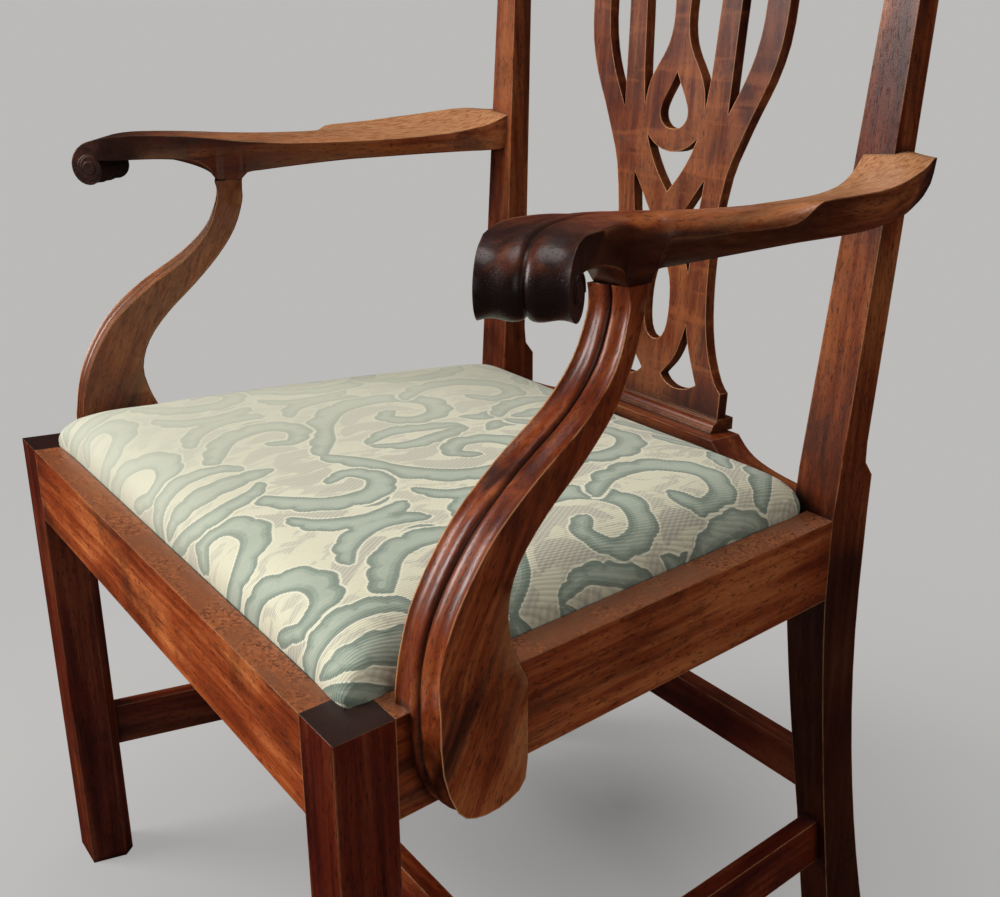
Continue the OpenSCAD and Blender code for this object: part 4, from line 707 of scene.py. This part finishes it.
def figured_cloth(name):
    finish = bpy.data.materials.new(name)
    finish.use_nodes = True
    tree = finish.node_tree
    shader = tree.nodes["Principled BSDF"]
    here = add(tree, "ShaderNodeTexCoord").outputs["Object"]
    across = add(tree, "ShaderNodeSeparateXYZ", {0: here})
    wander = add(tree, "ShaderNodeTexNoise", {"Vector": here, "Scale": 60.0, "Detail": 2.0}).outputs[0]
    rib = sum_of(tree, "SINE", sum_of(
        tree, "ADD", sum_of(tree, "MULTIPLY", across.outputs["X"], RIBS_PER_METRE * 2 * math.pi),
        sum_of(tree, "MULTIPLY", wander, 3.0)))
    thread = add(tree, "ShaderNodeMapping", {"Vector": here, "Scale": (1600, 60, 200)}).outputs[0]
    slub = add(tree, "ShaderNodeTexNoise", {"Vector": thread, "Scale": 1.0, "Detail": 2.0}).outputs[0]
    leaf = add(tree, "ShaderNodeAttribute", attribute_name="leaf").outputs["Fac"]
    pale = add(tree, "ShaderNodeAttribute", attribute_name="pale_leaf").outputs["Fac"]
    ragged = sum_of(tree, "ADD", leaf, sum_of(tree, "MULTIPLY", rib, 0.3))
    ragged = sum_of(tree, "ADD", ragged, sum_of(tree, "MULTIPLY", sum_of(tree, "SUBTRACT", wander, 0.5), 3.0))
    in_leaf = step(tree, ragged, 0.35, -0.35)
    outline = sum_of(tree, "MULTIPLY", step(tree, ragged, -4.4, -2.6), in_leaf)
    beside = step(tree, ragged, 2.0, 1.0)
    in_pale = step(tree, sum_of(tree, "ADD", pale, sum_of(tree, "MULTIPLY", rib, 0.4)), 0.5, -0.5)
    cloudy = add(tree, "ShaderNodeTexNoise", {"Vector": here, "Scale": 14.0, "Detail": 4.0,
                                              "Roughness": 0.6}).outputs[0]
    ground = tint(tree, cloudy, colour(0.64, 0.6, 0.42), colour(0.74, 0.7, 0.52))
    hatch = sum_of(tree, "SINE", sum_of(
        tree, "MULTIPLY", sum_of(tree, "ADD", across.outputs["X"],
                                 sum_of(tree, "MULTIPLY", across.outputs["Y"], 0.7)),
        HATCH_PER_METRE * 2 * math.pi))
    beige = tint(tree, step(tree, hatch, -0.8, 0.8), colour(0.43, 0.4, 0.31), colour(0.54, 0.51, 0.4))
    thrown = add(tree, "ShaderNodeMapping", {"Vector": here, "Scale": (70, 34, 34)}).outputs[0]
    fawn = step(tree, add(tree, "ShaderNodeTexNoise", {"Vector": thrown, "Scale": 1.0, "Detail": 3.0,
                                                       "Distortion": 1.2}).outputs[0], 0.5, 0.58)
    ground = tint(tree, sum_of(tree, "MULTIPLY", fawn, 0.75), ground, beige)
    body = tint(tree, in_pale, ground, beige)
    body = tint(tree, beside, body, colour(0.76, 0.73, 0.55))
    sage = tint(tree, step(tree, cloudy, 0.35, 0.65), colour(0.2, 0.26, 0.2), colour(0.32, 0.38, 0.3))
    sage = tint(tree, sum_of(tree, "MULTIPLY", outline, 0.75), sage, colour(0.13, 0.18, 0.14))
    core = step(tree, ragged, -5.6, -7.2)
    sage = tint(tree, sum_of(tree, "MULTIPLY", core, 0.6), sage, colour(0.42, 0.47, 0.37))
    body = tint(tree, in_leaf, body, sage)
    left = step(tree, sum_of(tree, "ADD", across.outputs["X"], sum_of(tree, "MULTIPLY", cloudy, 0.2)),
                0.27, -0.07)
    faded = sum_of(tree, "ADD", sum_of(tree, "MULTIPLY", left, 0.66), sum_of(tree, "MULTIPLY", cloudy, 0.2))
    body = tint(tree, faded, body, colour(0.53, 0.52, 0.4))
    # The rib valleys are darkened: painted shade between the ribs.
    body = tint(tree, sum_of(tree, "MULTIPLY", step(tree, rib, 0.2, -1.0), 0.28), body,
                colour(0.2, 0.2, 0.15))
    body = tint(tree, sum_of(tree, "MULTIPLY", step(tree, slub, 0.55, 0.75), 0.18), body,
                colour(0.85, 0.82, 0.66))
    tree.links.new(body, shader.inputs["Base Color"])
    shader.inputs["Roughness"].default_value = 0.85
    shader.inputs["Sheen Weight"].default_value = 0.12
    shader.inputs["Sheen Roughness"].default_value = 0.5
    weave = sum_of(tree, "ADD", sum_of(tree, "MULTIPLY", rib, 0.5), sum_of(tree, "MULTIPLY", in_leaf, 0.5))
    bump = add(tree, "ShaderNodeBump", {"Strength": 0.35, "Distance": 0.0004, "Height": weave})
    tree.links.new(bump.outputs[0], shader.inputs["Normal"])
    return finish


seat_pad.data.materials.clear()
seat_pad.data.materials.append(figured_cloth("figured_cloth"))
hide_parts("seat_cover", "seat_stuffing")
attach(seat_pad, "drop_in_seat")
print("seat covered")

# %% [markdown]
# ## Floor and light
# The chair stands on a pale floor that runs into a backdrop of the same grey. Near the chair the
# camera sees three tenths of the lit floor, which takes the real shadows, and seven tenths of a
# soft pool of shade that is painted round one place under the seat. Further out the floor passes
# into one even colour, for the camera alone. One broad lamp in front to the left models the front
# faces, a lamp overhead lifts the seat and the arms, and a weak one fills the right side.

# %% Floor
floor_grid = bmesh.new()
bmesh.ops.create_grid(floor_grid, x_segments=2, y_segments=2, size=9)
floor_mesh = bpy.data.meshes.new("floor")
floor_grid.to_mesh(floor_mesh)
floor_grid.free()
floor = object_from(floor_mesh, "floor")
BACKDROP = (0.497, 0.491, 0.480)
floor_finish = bpy.data.materials.new("studio_floor")
floor_finish.use_nodes = True
tree = floor_finish.node_tree
ground = tree.nodes["Principled BSDF"]
ground.inputs["Base Color"].default_value = colour(0.5, 0.49, 0.48)
ground.inputs["Roughness"].default_value = 0.9
even = add(tree, "ShaderNodeEmission", {"Color": colour(*BACKDROP)})
here = add(tree, "ShaderNodeTexCoord").outputs["Object"]
rays = add(tree, "ShaderNodeLightPath")
seen = rays.outputs["Is Camera Ray"]
under_seat = add(tree, "ShaderNodeVectorMath", {0: here, 1: (-0.05, 0.22, 0.0)},
                 operation="DISTANCE").outputs["Value"]
pool = ramp(tree, under_seat, [(0.0, 0.3), (0.12, 0.62), (0.2, 0.78), (0.3, 0.86), (0.45, 0.96),
                               (0.65, 1.02)])
soft_shade = add(tree, "ShaderNodeEmission", {"Color": colour(*BACKDROP), "Strength": pool})
near_floor = add(tree, "ShaderNodeMixShader", {0: sum_of(tree, "MULTIPLY", seen, 0.7),
                                               1: ground.outputs[0], 2: soft_shade.outputs[0]})
reach = add(tree, "ShaderNodeVectorMath", {0: here, 1: (-0.1, 0.0, 0.0)},
            operation="DISTANCE").outputs["Value"]
far_off = sum_of(tree, "MULTIPLY", step(tree, reach, 0.3, 1.2), seen)
both = add(tree, "ShaderNodeMixShader", {0: far_off, 1: near_floor.outputs[0], 2: even.outputs[0]})
dim = add(tree, "ShaderNodeEmission", {"Color": colour(*BACKDROP), "Strength": 0.02})
either = add(tree, "ShaderNodeMixShader", {0: rays.outputs["Is Glossy Ray"], 1: both.outputs[0],
                                           2: dim.outputs[0]})
tree.links.new(either.outputs[0], tree.nodes["Material Output"].inputs["Surface"])
floor.data.materials.append(floor_finish)
print("floor laid")

# %% Lamps and world
def broad_lamp(name, place, target, size, watts):
    lamp = bpy.data.objects.new(name, bpy.data.lights.new(name, "AREA"))
    lamp.data.shape, lamp.data.size, lamp.data.energy = "SQUARE", size, watts
    lamp.location = place
    lamp.rotation_euler = (Vector(target) - Vector(place)).to_track_quat("-Z", "Y").to_euler()
    scene.collection.objects.link(lamp)
    return lamp


broad_lamp("front_lamp", (-1.5, -2.4, 1.9), (0, 0, 0.45), 1.6, 112)
broad_lamp("overhead_lamp", (0.0, 0.2, 2.9), (0, 0, 0.4), 1.6, 28)
broad_lamp("side_fill", (2.6, -0.2, 1.2), (0, 0, 0.4), 1.5, 8)
world = bpy.data.worlds.new("studio")
scene.world = world
world.use_nodes = True
tree = world.node_tree
air = tree.nodes["Background"]
air.inputs["Color"].default_value = colour(*BACKDROP)
air.inputs["Strength"].default_value = 0.45
shown = add(tree, "ShaderNodeBackground", {"Color": colour(*BACKDROP), "Strength": 1.0})
rays = add(tree, "ShaderNodeLightPath")
dim = add(tree, "ShaderNodeBackground", {"Color": colour(*BACKDROP), "Strength": 0.03})
unseen = add(tree, "ShaderNodeMixShader", {0: rays.outputs["Is Glossy Ray"], 1: air.outputs[0],
                                           2: dim.outputs[0]})
mixed = add(tree, "ShaderNodeMixShader", {0: rays.outputs["Is Camera Ray"], 1: unseen.outputs[0],
                                          2: shown.outputs[0]})
tree.links.new(mixed.outputs[0], tree.nodes["World Output"].inputs["Surface"])
scene.view_settings.view_transform = "Standard"
